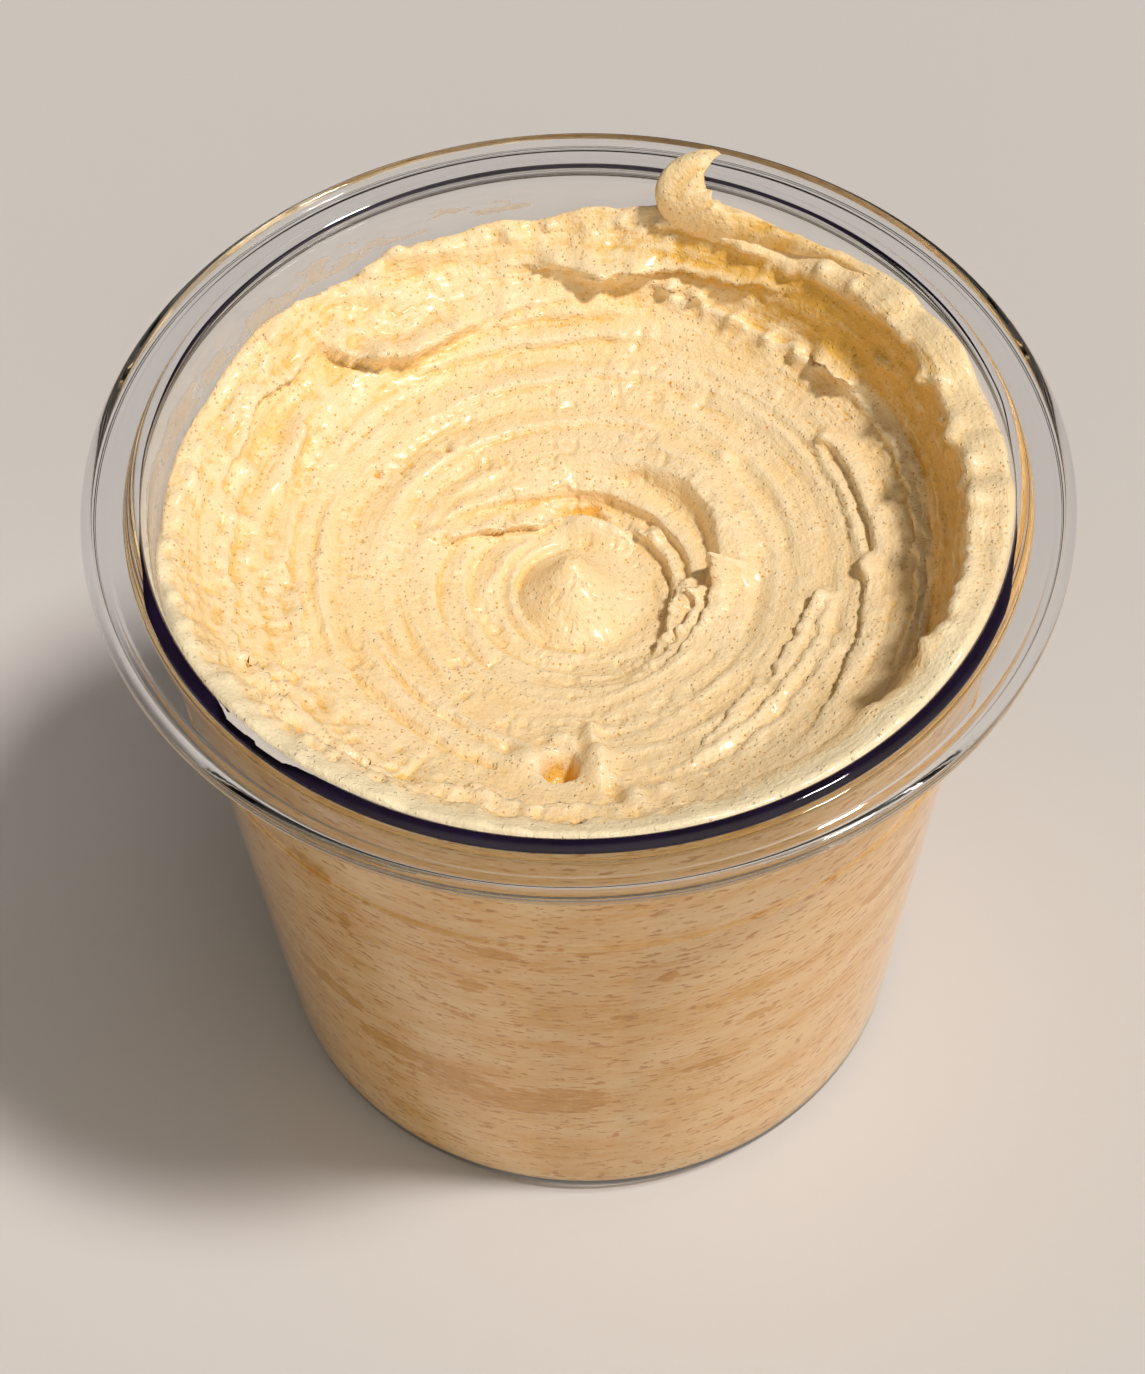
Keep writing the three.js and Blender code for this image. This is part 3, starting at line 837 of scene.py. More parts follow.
# Layers and lines of the swirl, from the middle out.
FOLDS = (
    Fold("crease round the dome", (
        (90, 8.4, 0), (112, 8.8, 0.6), (140, 9.0, 1.0), (176, 8.9, 1.0), (205, 9.1, 0.6), (240, 8.6, 0),
    ), 2.8, 0.25, 0.08, 0.8, gap=0.45),
    Fold("ring round it", (
        (112, 10.8, 0), (150, 11.0, 0.6), (200, 10.9, 0.55), (250, 10.5, 0.4), (300, 10.2, 0),
    ), 2.8, 0.15, 0.12, 0.9, gap=0.25),
    Fold("second ring round it", (
        (136, 14.6, 0), (165, 15.0, 0.55), (200, 14.8, 0.55), (250, 14.2, 0.4), (296, 13.8, 0),
    ), 3.2, 0.15, 0.15, 1.0, gap=0.25),
    Fold("back edge of the middle", (
        (44, 10.4, 0), (58, 10.8, 1.2), (74, 11.3, 1.9), (90, 11.6, 1.8), (102, 12.0, 0.8), (112, 12.3, 0),
    ), 4.5, 0.4, 0.12, lip=1.1, faces_in=False, gap=0.3),
    Fold("dragged arm", (
        (96, 12.0, 0), (106, 12.1, 0.7), (118, 12.5, 1.1), (140, 15.0, 1.1), (152, 17.3, 1.1), (158, 18.6, 0.9),
        (161, 19.4, 0),
    ), 3.2, 0.5, 0.15, gap=0.5),
    Fold("ridge along the arm", (
        (92, 15.6, 0), (106, 15.4, 0.5), (128, 17.0, 0.6), (146, 19.4, 0.4), (156, 21.2, 0),
    ), 2.2, 0.2, 0.1),
    Fold("third ring inside", (
        (-30, 12.7, 0), (-8, 12.4, 0.9), (30, 12.3, 1.1), (50, 11.9, 0.9), (68, 11.4, 0),
    ), 2.0, 0.2, 0.2, lip=0.9, gap=0.1),
    Fold("second ring inside", (
        (-28, 14.9, 0), (-8, 14.8, 0.9), (10, 14.9, 1.0), (50, 14.9, 1.0), (80, 15.6, 0.8), (104, 16.4, 0.5),
        (126, 17.4, 0),
    ), 2.4, 0.2, 0.15, lip=1.1, gap=0.1),
    Fold("inner bowl's edge", (
        (-10, 18.0, 0), (-2, 18.3, 2.0), (8, 18.9, 2.3), (24, 19.7, 2.4), (43, 20.4, 2.2), (62, 20.1, 1.6),
        (80, 19.2, 0.9), (104, 18.8, 0.5), (134, 18.6, 0),
    ), 8.0, 0.25, 0.12, lip=2.4, gap=0.0),
    Fold("faint line on the left", (
        (160, 18.2, 0), (185, 18.6, 0.5), (215, 18.6, 0.45), (246, 18.2, 0),
    ), 3.0, 0.15, 0.12),
    Fold("torn edge, low layer", (
        (290, 15.6, 0), (303, 14.9, 0.7), (312, 14.4, 1.2), (322, 13.9, 1.7), (335, 13.2, 1.9), (347, 13.4, 1.7),
        (356, 13.9, 1.1), (360, 14.1, 0),
    ), 2.2, 0.4, 0.45, 0.7, gap=0, tooth_mm=2.4, rough=0.5),
    Fold("torn edge, middle layer", (
        (286, 17.0, 0), (300, 16.4, 0.6), (320, 15.9, 1.0), (337, 15.8, 1.2), (350, 16.0, 1.2), (355, 16.4, 0),
    ), 1.9, 0.3, 0.35, 0.7, gap=0, tooth_mm=2.8, rough=0.5),
    Fold("torn edge, upper layer", (
        (272, 19.6, 0), (290, 18.6, 0.4), (305, 18.0, 0.6), (318, 17.6, 0.8), (335, 17.5, 1.1), (350, 17.8, 1.5),
        (359, 18.4, 2.0), (361.5, 18.8, 0),
    ), 3.6, 0.4, 0.2, 0.7, gap=0, tooth_mm=3.0, rough=0.4),
    Fold("ridge in front, inner line", (
        (198, 27.8, 0), (210, 27.2, 0.7), (223, 27.0, 0.9), (239, 27.7, 0.8), (252, 28.3, 0.5), (259, 28.5, 0),
    ), 2.8, 0.3, 0.25, faces_in=False, gap=0.6),
    Fold("second line in front", (
        (206, 31.4, 0), (222, 31.0, 0.5), (240, 31.6, 0.6), (253, 32.2, 0),
    ), 2.4, 0.25, 0.3, faces_in=False, gap=0.5),
    Fold("line in front, right", ((276, 26.4, 0), (290, 25.6, 0.5), (312, 24.4, 0.5), (334, 24.0, 0)), 2.6, 0.2, 0.2),
    Fold("crack on the right", (
        (288, 32.6, 0), (300, 31.0, 0.6), (312, 28.8, 0.8), (318, 27.8, 0.6), (321, 27.2, 0),
    ), 2.6, 0.3, 0.35, 0.5, gap=0.15, rough=0.3),
    Fold("lifted edge by the crack", (
        (316, 29.5, 0), (324, 29.1, 0.6), (332, 29.0, 0.7), (342, 29.5, 0.8), (348.5, 30.2, 0.9), (350.5, 30.5, 0),
    ), 2.6, 0.4, 0.35, 0.5, gap=0.15, rough=0.3),
    Fold("layer over the crack", (
        (282, 34.0, 0), (302, 32.6, 0.6), (322, 31.4, 0.7), (346, 31.8, 0.5), (360, 32.6, 0),
    ), 2.2, 0.3, 0.3),
    Fold("second layer over it", ((288, 36.0, 0), (306, 34.6, 0.5), (326, 33.6, 0.5), (350, 34.0, 0)), 2.2, 0.3, 0.3),
    Fold("ridge on the right", (
        (306, 39.8, 0), (322, 38.3, 0.7), (334, 37.2, 0.8), (346, 36.5, 0.9), (357, 36.2, 0.9), (360, 36.2, 0),
    ), 2.8, 0.35, 0.3, 0.8, gap=0.12),
    Fold("ridge going on", (
        (-4, 37.2, 0), (2, 37.3, 1.0), (14, 37.4, 1.1), (27, 37.5, 0.9), (32, 37.4, 0),
    ), 2.6, 0.25, 0.12, 0.8, gap=0.12),
    Fold("line inside the ridge", ((-12, 35.0, 0), (8, 35.0, 0.6), (30, 35.2, 0.5), (50, 35.6, 0)), 2.2, 0.25, 0.25),
    Fold("curled ridge, upper left", (
        (142, 43.4, 0), (147, 42.2, 0.8), (155, 40.2, 1.0), (163, 39.4, 0.8), (168, 39.0, 0),
    ), 2.6, 0.3, 0.4, 0.8, gap=0.15),
    Fold("curled ridge, left", (
        (164, 37.4, 0), (170, 37.1, 0.7), (181, 36.9, 0.8), (185, 36.4, 0),
    ), 2.2, 0.3, 0.35, 0.7, gap=0.2),
    Fold("curl in front of it", (
        (183, 34.8, 0), (188, 35.6, 0.9), (194, 36.5, 1.2), (199, 36.6, 1.0), (204, 36.4, 0),
    ), 2.0, 0.5, 0.3, 0.7, gap=0.3),
    Fold("line on the left", (
        (150, 33.6, 0), (172, 33.0, 0.6), (196, 33.0, 0.6), (216, 33.4, 0),
    ), 2.6, 0.3, 0.25, faces_in=False),
    Fold("crumbled edge in front", (
        (190, 45.4, 0), (200, 44.6, 0.9), (210, 43.2, 1.2), (226, 41.9, 1.2), (236, 40.8, 1.0), (240, 40.3, 0),
    ), 2.4, 0.3, 0.7, 0.7, gap=0.2),
    Fold("crumbled edge going on", (
        (236, 40.2, 0), (246, 39.4, 0.9), (258, 38.8, 0.9), (270, 38.4, 0.7), (282, 38.0, 0),
    ), 2.4, 0.3, 0.7, 0.7, gap=0.3),
    Fold("foot of the right wall", (
        (-30, 43.4, 0), (-14, 42.6, 0.6), (0, 42.2, 0.7), (20, 42.8, 0.7), (36, 43.0, 0),
    ), 1.6, 0.3, 0.35),
    Fold("wavy layer on the right wall", (
        (-36, 45.0, 0), (-18, 43.9, 0.4), (0, 43.6, 0.5), (16, 44.2, 0.4), (30, 44.6, 0),
    ), 1.2, 0.25, 0.25),
    Fold("layer higher on it", ((-26, 45.3, 0), (-10, 44.8, 0.3), (8, 44.9, 0.35), (24, 45.4, 0)), 1.0, 0.2, 0.2),
    Fold("torn line under the back wall", (
        (26, 43.6, 0), (38, 42.9, 1.0), (50, 42.8, 1.2), (62, 43.0, 1.1), (72, 43.8, 0.8), (78, 44.6, 0),
    ), 2.4, 0.2, 0.9, faces_in=False, gap=0.2, tooth_mm=3.0, rough=0.35),
    Fold("layer on the back wall", (
        (48, 47.0, 0), (60, 46.4, 0.8), (76, 46.0, 0.8), (92, 46.2, 0.5), (104, 46.8, 0),
    ), 1.6, 0.5, 0.4),
    Fold("line at the back", (
        (68, 38.8, 0), (80, 37.8, 0.6), (96, 37.0, 0.7), (112, 37.2, 0.5), (126, 37.8, 0),
    ), 3.0, 0.3, 0.3),
    Fold("second line at the back", (
        (76, 41.6, 0), (90, 40.4, 0.6), (106, 40.2, 0.5), (116, 40.4, 0),
    ), 2.6, 0.3, 0.3),
    Fold("inner line at the back", (
        (58, 33.8, 0), (80, 32.2, 0.6), (96, 31.2, 0.6), (118, 31.4, 0.4), (136, 31.8, 0),
    ), 3.0, 0.25, 0.35),
    Fold("line behind the inner bowl", (
        (40, 27.4, 0), (62, 26.0, 0.5), (90, 25.0, 0.6), (122, 25.0, 0.5), (150, 26.2, 0),
    ), 3.0, 0.2, 0.2),
    Fold("edge of the left band", (
        (134, 47.2, 0), (142, 46.4, 0.9), (152, 46.6, 1.0), (164, 45.8, 0.8), (176, 45.2, 0),
    ), 1.8, 0.3, 0.6, 0.8, gap=0.1),
    Fold("layer on the left wall", (
        (164, 44.6, 0), (176, 43.6, 0.7), (188, 43.4, 0.7), (200, 44.4, 0),
    ), 2.0, 0.3, 0.6, 0.8, gap=0.15),
    Fold("layer that ends in the folded lump", (
        (86, 42.8, 0), (96, 41.8, 0.7), (108, 40.8, 1.1), (118, 39.8, 1.6), (125, 39.8, 2.0), (130, 41.4, 2.3),
        (133.5, 44.0, 2.2), (135.5, 46.4, 0),
    ), 4.2, 0.5, 0.6, 0.8, gap=0.2, tooth_mm=3.0, rough=0.24),
)

LUMPS = (
    Lump("hollow behind the middle", 80, 13.5, 1.8, 4.6, -1.5),
    Lump("flake behind the middle", 71, 12.6, 0.7, 1.6, 1.1, turn=-20),
    Lump("flake in the inner bowl", 40, 13.2, 0.8, 1.2, 1.0),
    Lump("second flake in it", 46, 12.0, 0.7, 0.8, 0.7),
    Lump("tip of the torn edge", 0.5, 18.1, 0.9, 0.8, 1.2, 1.0, flat=1.5),
    Lump("second tip", 347, 15.6, 0.9, 0.7, 0.9, 0.7, flat=1.5),
    Lump("end of the lifted edge", 348.5, 30.6, 0.8, 1.3, 0.8, flat=1.5),
    Lump("small lump on the right", 43, 26.6, 1.0, 1.9, 1.0),
    Lump("end of the right ridge", 29.5, 37.0, 0.9, 1.0, 1.2, 0.4),
    Lump("flake on the right ridge", 355, 36.6, 0.9, 1.6, 0.9, 0.6),
    Lump("lump on the right wall", 37, 44.4, 1.7, 3.6, 2.0, 1.2),
    Lump("its left part", 41.5, 44.6, 1.3, 1.6, 1.3, 0.8),
    Lump("lump above it", 31, 46.2, 1.0, 1.5, 0.6, 0.4),
    Lump("bead on the right wall", 20.5, 47.6, 1.2, 1.2, 1.1, 0.6),
    Lump("lobe at the back", 85, 45.8, 2.3, 4.2, 2.9, 1.9),
    Lump("lobe at the back, left", 92.5, 47.2, 1.6, 3.2, 1.6, 0.9),
    Lump("lobe at the back, right", 78, 46.4, 1.4, 2.2, 1.6, 0.7),
    Lump("small lump at the back", 72.5, 44.7, 1.0, 1.2, 1.6, 0.6),
    Lump("smaller lump at the back", 67.5, 44.3, 0.9, 1.0, 1.2, 0.5),
    Lump("crumb under the back wall", 60, 42.8, 1.0, 0.9, 1.2, 0.3),
    Lump("second crumb", 52.5, 42.6, 1.0, 0.8, 1.3, 0.3),
    Lump("third crumb", 46, 42.9, 1.0, 1.0, 1.1, 0.3),
    Lump("folded lump, top", 131.5, 46.6, 1.8, 1.8, 1.8, 0.4, flat=1.3),
    Lump("folded lump, ridge", 128.6, 44.2, 2.4, 1.7, 1.2, 0.4, flat=1.4),
    Lump("folded lump, foot", 127.6, 41.6, 1.9, 2.2, 1.2, 0.5, flat=1.5),
    Lump("mass behind the folded lump", 121.5, 44.4, 3.2, 5.2, 0.7, 0.4, flat=1.4),
    Lump("fold towards the wall", 123, 48.6, 1.1, 5.2, 1.3, turn=-22),
    Lump("fold at the wall", 113.5, 50.2, 1.0, 4.8, 0.9, turn=-16),
    Lump("lumps beside it", 118.0, 40.7, 1.6, 2.4, 1.3, 0.3, flat=1.3),
    Lump("lump beside it", 123.0, 40.2, 1.5, 1.7, 1.6, 0.4, flat=1.4),
    Lump("lump further right", 112.5, 41.4, 1.2, 1.7, 1.2, 0.5),
    Lump("hollow beside the folded lump", 136.0, 43.4, 2.8, 1.4, -0.45),
    Lump("flake on the left", 151, 41.4, 1.4, 1.4, 1.1, 0.4, flat=1.3),
    Lump("lump on the left", 163, 44.0, 1.4, 1.8, 1.1, 0.3, flat=1.3),
    Lump("hollow on the left", 168, 45.4, 1.2, 1.1, -1.0),
    Lump("lump further on", 173, 43.0, 1.5, 1.3, 1.0, 0.4),
    Lump("hole in front", 264.2, 30.8, 2.2, 2.0, -4.4, flat=3.0),
    Lump("lump right of the hole", 272.8, 30.6, 2.9, 1.9, 2.2, flat=1.3),
    Lump("lump left of the hole", 256.5, 30.6, 2.4, 2.4, 1.1),
    Lump("lump behind the hole", 263.5, 26.2, 1.3, 2.2, 1.1),
    Lump("peak behind the hole", 271.4, 25.8, 2.2, 1.1, 1.5, 0.7),
    Lump("hollow left of the hole", 251.5, 29.4, 1.0, 0.9, -0.9),
    Lump("bumps in front", 243, 38.4, 1.4, 2.0, 1.0),
    Lump("bump in front", 249.5, 37.8, 1.1, 1.2, 1.0),
    Lump("bump in front, right", 278.5, 37.0, 1.7, 1.6, 1.4),
    Lump("groove in front, right", 275.2, 36.0, 2.6, 0.8, -0.8, turn=14),
    Lump("bump further right", 284, 36.4, 1.2, 1.6, 1.1),
    Lump("crease in front, left", 237, 38.2, 3.0, 0.5, -1.0),
    Lump("round pit on the left", 147.3, 30.8, 0.65, 0.6, -1.5, flat=2),
    Lump("small pit on the left", 129.4, 26.8, 0.5, 0.5, -0.9, flat=2),
    Lump("pit by the arm", 156.6, 22.6, 0.5, 0.55, -0.9, flat=2),
    Lump("pit at the arm's end", 157.6, 18.9, 0.6, 0.7, -1.0, flat=2),
    Lump("pit in front", 219.5, 21.0, 0.35, 0.9, -0.7),
)

# Amber patches against the wall: angle, height, half length along the wall and half height.
PATCHES = (
    (228, 77.5, 3.6, 2.6), (247, 61.5, 2.6, 1.4), (252, 62.0, 2.6, 1.6), (262, 46.0, 1.0, 0.8),
    (232, 66.0, 1.6, 1.1), (243, 60.0, 1.0, 0.7), (281, 66.0, 1.4, 0.7), (275, 56.5, 2.4, 0.9),
    (240, 34.0, 12.0, 2.6), (258, 30.0, 15.0, 3.6), (222, 40.0, 8.0, 1.4), (282, 36.0, 10.0, 1.4),
    (268, 74.5, 7.0, 1.0), (256, 72.5, 5.0, 0.9), (300, 48.0, 7.0, 1.2), (325, 60.0, 9.0, 1.5),
    (345, 40.0, 11.0, 2.2), (20, 55.0, 12.0, 2.0), (55, 33.0, 14.0, 3.0), (90, 62.0, 9.0, 1.8),
    (120, 40.0, 13.0, 2.6), (150, 58.0, 8.0, 1.6), (182, 34.0, 12.0, 2.8), (200, 62.0, 6.0, 1.2),
)


@dataclass
class IceCream:
    """The fill: against the tub's wall below, and on top a swirled bowl whose edge climbs to the rim."""

    tub: Tub
    columns: int = 576
    top_rows: int = 140
    side_rows: int = 22
    collar_rows: int = 5
    into_wall: float = 0.15
    edge_drop: float = 0.9
    rounding: float = 0.5
    # Height of the edge on the wall, round the tub.
    crest: Table = (
        (0, 103.4), (8, 102.6), (14, 102.2), (22, 102.7), (38, 103.3), (47, 101.2), (58, 100.6), (66, 101.4),
        (78, 99.6), (86, 97.5), (97, 96.7), (108, 96.2), (119, 95.6), (128, 95.2), (141, 97.2), (157, 96.1),
        (176, 95.8), (190, 97.6), (204, 100.9), (220, 102.8), (243, 103.5), (300, 103.5), (348, 103.5),
    )
    # How far in from the wall the rolled edge reaches, and how much it falls on the way.
    band: Table = (
        (0, 5.4), (7, 5.8), (15, 5.2), (26, 4.8), (38, 4.6), (60, 4.2), (78, 3.4), (90, 3.0), (105, 2.6), (130, 1.6),
        (142, 3.6), (156, 4.4), (176, 3.6), (190, 2.8), (204, 3.2), (220, 4.2), (243, 5.0), (270, 4.6), (297, 4.8),
        (312, 5.2), (322, 5.2), (334, 4.6), (348, 5.0),
    )
    fall: Table = (
        (0, 0.8), (30, 1.1), (60, 2.0), (80, 2.4), (105, 1.4), (130, 0.8), (150, 1.0), (190, 1.2), (220, 2.0),
        (260, 2.2), (300, 1.8), (330, 1.0),
    )
    # Radius at which the wall's foot meets the bowl.
    foot: Table = (
        (0, 43.8), (10, 44.4), (20, 44.9), (40, 44.5), (60, 44.6), (80, 44.4), (100, 44.8), (118, 45.4), (135, 46.4),
        (150, 44.8), (175, 44.6), (204, 45.6), (243, 44.6), (270, 44.8), (300, 44.2), (316, 43.9), (336, 44.8),
        (350, 43.8),
    )
    # The bowl that the paddle left, from the middle to the wall.
    bowl: Table = ((0, 79.8), (9, 79.5), (12.5, 80.4), (18, 83.0), (35.5, 86.6), (45, 91.0), (51.6, 95.2))
    # Radius from which widths are measured along the surface.
    wall_start: float = 43.0
    # The dome in the middle, its apex and the tip on it, as X and Y.
    dome: tuple[float, float] = (-1.1, -1.9)
    dome_radius: float = 8.6
    dome_height: float = 4.6
    dome_apex: tuple[float, float] = (-1.2, 0.9)
    tip: tuple[float, float] = (-1.25, 1.5)
    tip_radius: float = 1.8
    tip_height: float = 0.9
    tip_lean: float = 0.4
    # Tone of plain stretches, how far painted shade in creases and painted highlights on crests shift it, and how
    # much painted shade darkens it in hollows and on steep walls: least on the left and most on the right.
    plain_tone: float = 0.65
    painted_crease_shade: float = -0.26
    painted_crest_light: float = 0.3
    painted_hollow_shade: float = 0.4
    painted_wall_shade: tuple[float, float] = (0.22, 0.7)

    def bowl_height(self, radius: Array) -> Array:
        """Height of the bowl at a radius, with its corners eased.

        Args:
            radius: Distance from the axis.

        Returns:
            The height at each radius.
        """
        r = np.linspace(0, 56, 561)
        z = np.interp(r, [p[0] for p in self.bowl], [p[1] for p in self.bowl])
        width = 25  # 2.5 mm to each side
        padded = np.concatenate([z[1 : width + 1][::-1], z, z[-1] + (z[-1] - z[-2]) * np.arange(1, width + 1)])
        kernel = np.hanning(2 * width + 1)
        return np.interp(radius, r, np.convolve(padded, kernel / kernel.sum(), "valid"))

    def column_curve(self, crest: float, band: float, fall: float, foot: float) -> tuple[Array, Array]:
        """One column of the plain top, from the wall to the middle.

        Args:
            crest: Height of the edge on the wall.
            band: How far in the rolled edge reaches.
            fall: How much it falls on the way.
            foot: Radius at which the wall's foot meets the bowl.

        Returns:
            Radius and height of each row, and its distance from the middle along the surface.
        """
        wall = float(self.tub.inner_radius(crest)) + self.into_wall
        inner = wall - band
        foot_z = float(self.bowl_height(foot))
        rest = np.linspace(foot - 2.2, 0, 30)
        radii = [wall, wall - 0.3, wall - 1.0, inner, foot + (inner - foot) * 0.42, foot, *rest]
        heights = [crest - self.edge_drop, crest - 0.25, crest, crest - fall, foot_z + (crest - fall - foot_z) * 0.4,
                   foot_z + 0.15, *self.bowl_height(rest)]
        length = np.concatenate([[0], np.cumsum(np.hypot(np.diff(radii), np.diff(heights)))])
        samples = 900
        dense = np.linspace(0, length[-1], samples)
        line = np.stack([np.interp(dense, length, radii), np.interp(dense, length, heights)], -1)
        # The corners are eased by a moving average.
        width = int(self.rounding / (length[-1] / (samples - 1))) * 2
        kernel = np.hanning(2 * width + 1)
        kernel /= kernel.sum()
        for axis in (0, 1):
            before = 2 * line[0, axis] - line[1 : width + 1, axis][::-1]
            after = 2 * line[-1, axis] - line[-width - 1 : -1, axis][::-1]
            line[:, axis] = np.convolve(np.concatenate([before, line[:, axis], after]), kernel, "valid")
        # Rows lie closest round the inner bowl, where the torn edges are.
        near = smooth((line[:, 0] - 9) / 4) * smooth((23 - line[:, 0]) / 4)
        density = 1.0 + 0.5 * near - 0.2 * smooth((8 - line[:, 0]) / 5)
        filled = np.concatenate([[0], np.cumsum((density[1:] + density[:-1]) / 2)])
        want = np.linspace(0, filled[-1], self.top_rows)
        curve = np.stack([np.interp(want, filled, line[:, k]) for k in (0, 1)], -1)
        return curve, length[-1] - np.interp(want, filled, dense)

    def crest_line(self, angle: Array) -> Array:
        """Height of the edge on the wall, with the small waves that the photograph shows.

        Args:
            angle: Angle of each column.

        Returns:
            The height in each column.
        """
        wave = Grain(11).layered(angle / 360 * 46, np.zeros_like(angle), 3, turn=46)
        rough = 0.4 + 0.4 * smooth((np.cos(np.radians(angle - 40)) + 0.1) / 0.8)
        return np.minimum(around(angle, self.crest) + rough * wave, self.tub.mouth_top - 0.25)

    def relief(self, angle: Array, radius: Array, run: Array, x: Array, y: Array) -> tuple[Array, Array]:
        """The forms that the paddle left: folds, lumps, and beads along the rolled edge.

        On the wall their widths are measured along the surface, by an unrolled radius that goes on from the bowl's
        edge with the length of the way up.

        Args:
            angle: Angle of each point.
            radius: Distance of each point from the axis on the plain top.
            run: Length of the way to each point from the middle.
            x: Place of each point along X on the unrolled surface.
            y: Place of each point along Y on it.

        Returns:
            How far each point rises, and how far it moves away from the axis.
        """
        rise = np.zeros_like(radius)
        shift = np.zeros_like(radius)
        start = np.argmax(radius < self.wall_start, axis=1)[:, None]
        first = np.take_along_axis(radius, start, 1) - np.take_along_axis(run, start, 1)
        unrolled = np.where(radius < self.wall_start, radius, run + first)

        def unroll(at: Array) -> Array:
            """Turns a radius in each column to the unrolled one."""
            return np.array([np.interp(r, old[::-1], new[::-1]) for r, old, new in zip(at, radius, unrolled)])

        for i, fold in enumerate(FOLDS):
            up, out = fold.relief(angle, unrolled, unroll, 100 + i)
            rise += up
            shift += out
        uneven = Grain(7).layered(x / 1.7, y / 1.7, 2)
        for lump in (*LUMPS, *self.beads()):
            up, out = lump.relief(angle, unrolled, unroll, uneven)
            rise += up * (1 + 0.2 * uneven)
            shift += out
        return rise, shift

    def beads(self) -> list[Lump]:
        """Small lumps strung along the inner side of the rolled edge.

        Returns:
            The lumps, from the front right round to the front left.
        """
        dice = np.random.default_rng(61)
        beads = []
        angle = -34.0
        while angle < 232:
            one = np.array([angle % 360])
            radius = float(self.tub.mouth_inner - around(one, self.band)[0]) + dice.uniform(-0.6, 1.0)
            size = dice.uniform(0.5, 1.25)
            long = size * dice.uniform(0.8, 1.8)
            beads.append(Lump("bead", angle % 360, radius, size, long, dice.uniform(0.3, 1.0), lean=0.3))
            angle += dice.uniform(1.2, 6.5)
        return beads

    def swirl(self, angle: Array, run: Array, x: Array, y: Array) -> Array:
        """The paddle's rings: uneven ridges along the swirl with narrow creases, that fade into smoother patches.

        Args:
            angle: Angle of each point.
            run: Its way from the middle along the surface.
            x: Its place along X on the unrolled surface.
            y: Its place along Y on it.

        Returns:
            How far each point rises.
        """

        def rings(seed: int, turns: int, at: Array) -> Array:
            """Noise that closes on itself after so many cells round the tub."""
            return Grain(seed).at(angle / 360 * turns, at, turn=turns)

        r = run + 1.5 * rings(21, 6, run / 16) + 0.3 * rings(26, 24, run / 5)
        broad, middle, fine = rings(22, 7, r / 3.0), rings(23, 12, r / 1.4), rings(24, 22, r / 0.75)
        crease = np.exp(-((rings(27, 8, r / 2.2) / 0.12) ** 2))
        patch = smooth(Grain(25).layered(x / 12, y / 12, 2) * 1.3 + 0.5)
        inner = smooth((run - 5) / 6)
        front = smooth((np.cos(np.radians(angle - 262)) + 0.2) / 0.9) * smooth((run - 30) / 8)
        strength = inner * (1 - 0.4 * front)
        return strength * (0.42 * broad + (0.26 * middle + 0.18 * fine) * (0.3 + 0.7 * patch) - 0.2 * crease * patch)

    def crumb(self, angle: Array, run: Array, x: Array, y: Array) -> Array:
        """Small torn bumps and pits, mostly on the outer part of the bowl and along the wall.

        Args:
            angle: Angle of each point.
            run: Its way from the middle along the surface.
            x: Its place along X on the unrolled surface.
            y: Its place along Y on it.

        Returns:
            How far each point rises.
        """
        outer = smooth((run - 22) / 18)
        patch = smooth(Grain(31).layered(x / 7, y / 7, 2) + 0.5)
        bumps = Grain(32).layered(x / 1.8, y / 1.8, 3)
        grain = Grain(33).layered(x / 1.0, y / 1.0, 1)
        pits = smooth((Grain(34).layered(x / 1.5, y / 1.5, 2) - 0.5) / 0.35)
        front = smooth((np.cos(np.radians(angle - 236)) - 0.35) / 0.5) * smooth((run - 35) / 6)
        wall = smooth((run - 42) / 4)
        calm = smooth((np.cos(np.radians(angle - 2)) - 0.45) / 0.4)
        torn = np.maximum(front, 0.35 * wall * (0.3 + patch) * (1 - 0.8 * calm))
        strength = 0.1 + 0.16 * outer * patch + 0.28 * torn
        pitted = pits * (0.12 + 0.2 * patch + 0.5 * torn) * (1 - 0.8 * wall * (1 - front))
        return strength * (0.8 * bumps + 0.2 * grain) - pitted

    def surface(self) -> tuple[Array, Array, Array, Array]:
        """Works out the whole top.

        Returns:
            The place of each point, its tone of painted light and shade, its share of film and its way from the
            middle, in columns and rows.
        """
        angle = np.arange(self.columns) * 360.0 / self.columns
        scallop = Grain(12).layered(angle / 360 * 44, np.zeros_like(angle), 3, turn=44)
        band = around(angle, self.band) * (1 + 0.09 * scallop)
        fall = around(angle, self.fall)
        foot = around(angle, self.foot) + 0.15 * Grain(13).layered(angle / 360 * 30, np.zeros_like(angle), 2, turn=30)
        columns = [self.column_curve(*column) for column in zip(self.crest_line(angle), band, fall, foot)]
        curves = np.stack([curve for curve, _ in columns])
        run = np.stack([length for _, length in columns])
        turned = np.radians(angle)[:, None]
        radius = curves[..., 0]
        plain = np.stack([radius * np.cos(turned), radius * np.sin(turned), curves[..., 1]], -1)
        wide = np.broadcast_to(angle[:, None], radius.shape)
        x, y = run * np.cos(turned), run * np.sin(turned)
        held = smooth((float(self.tub.mouth_inner) - 0.3 - radius) / 1.4)
        edge = smooth((radius - (self.tub.mouth_inner - band[:, None])) / 1.5)
        front = smooth((np.cos(np.radians(wide - 258)) - 0.1) / 0.35)
        film = edge * front * smooth((radius - 49.0) / 0.9)
        rise, shift = self.relief(wide, radius, run, x, y)
        rise = rise * held
        rings = self.swirl(wide, run, x, y) * held * (1 - 0.85 * edge)
        shaped = self.with_dome(self.moved(plain, rise + rings, shift * held))
        crumb = self.crumb(wide, run, x, y) * held * (1 - 0.5 * edge * (1 - front) - 0.75 * film)
        whole = self.moved(shaped, crumb, np.zeros_like(crumb))
        return whole, self.painted_light_tone(plain, rise + rings + crumb), film, run

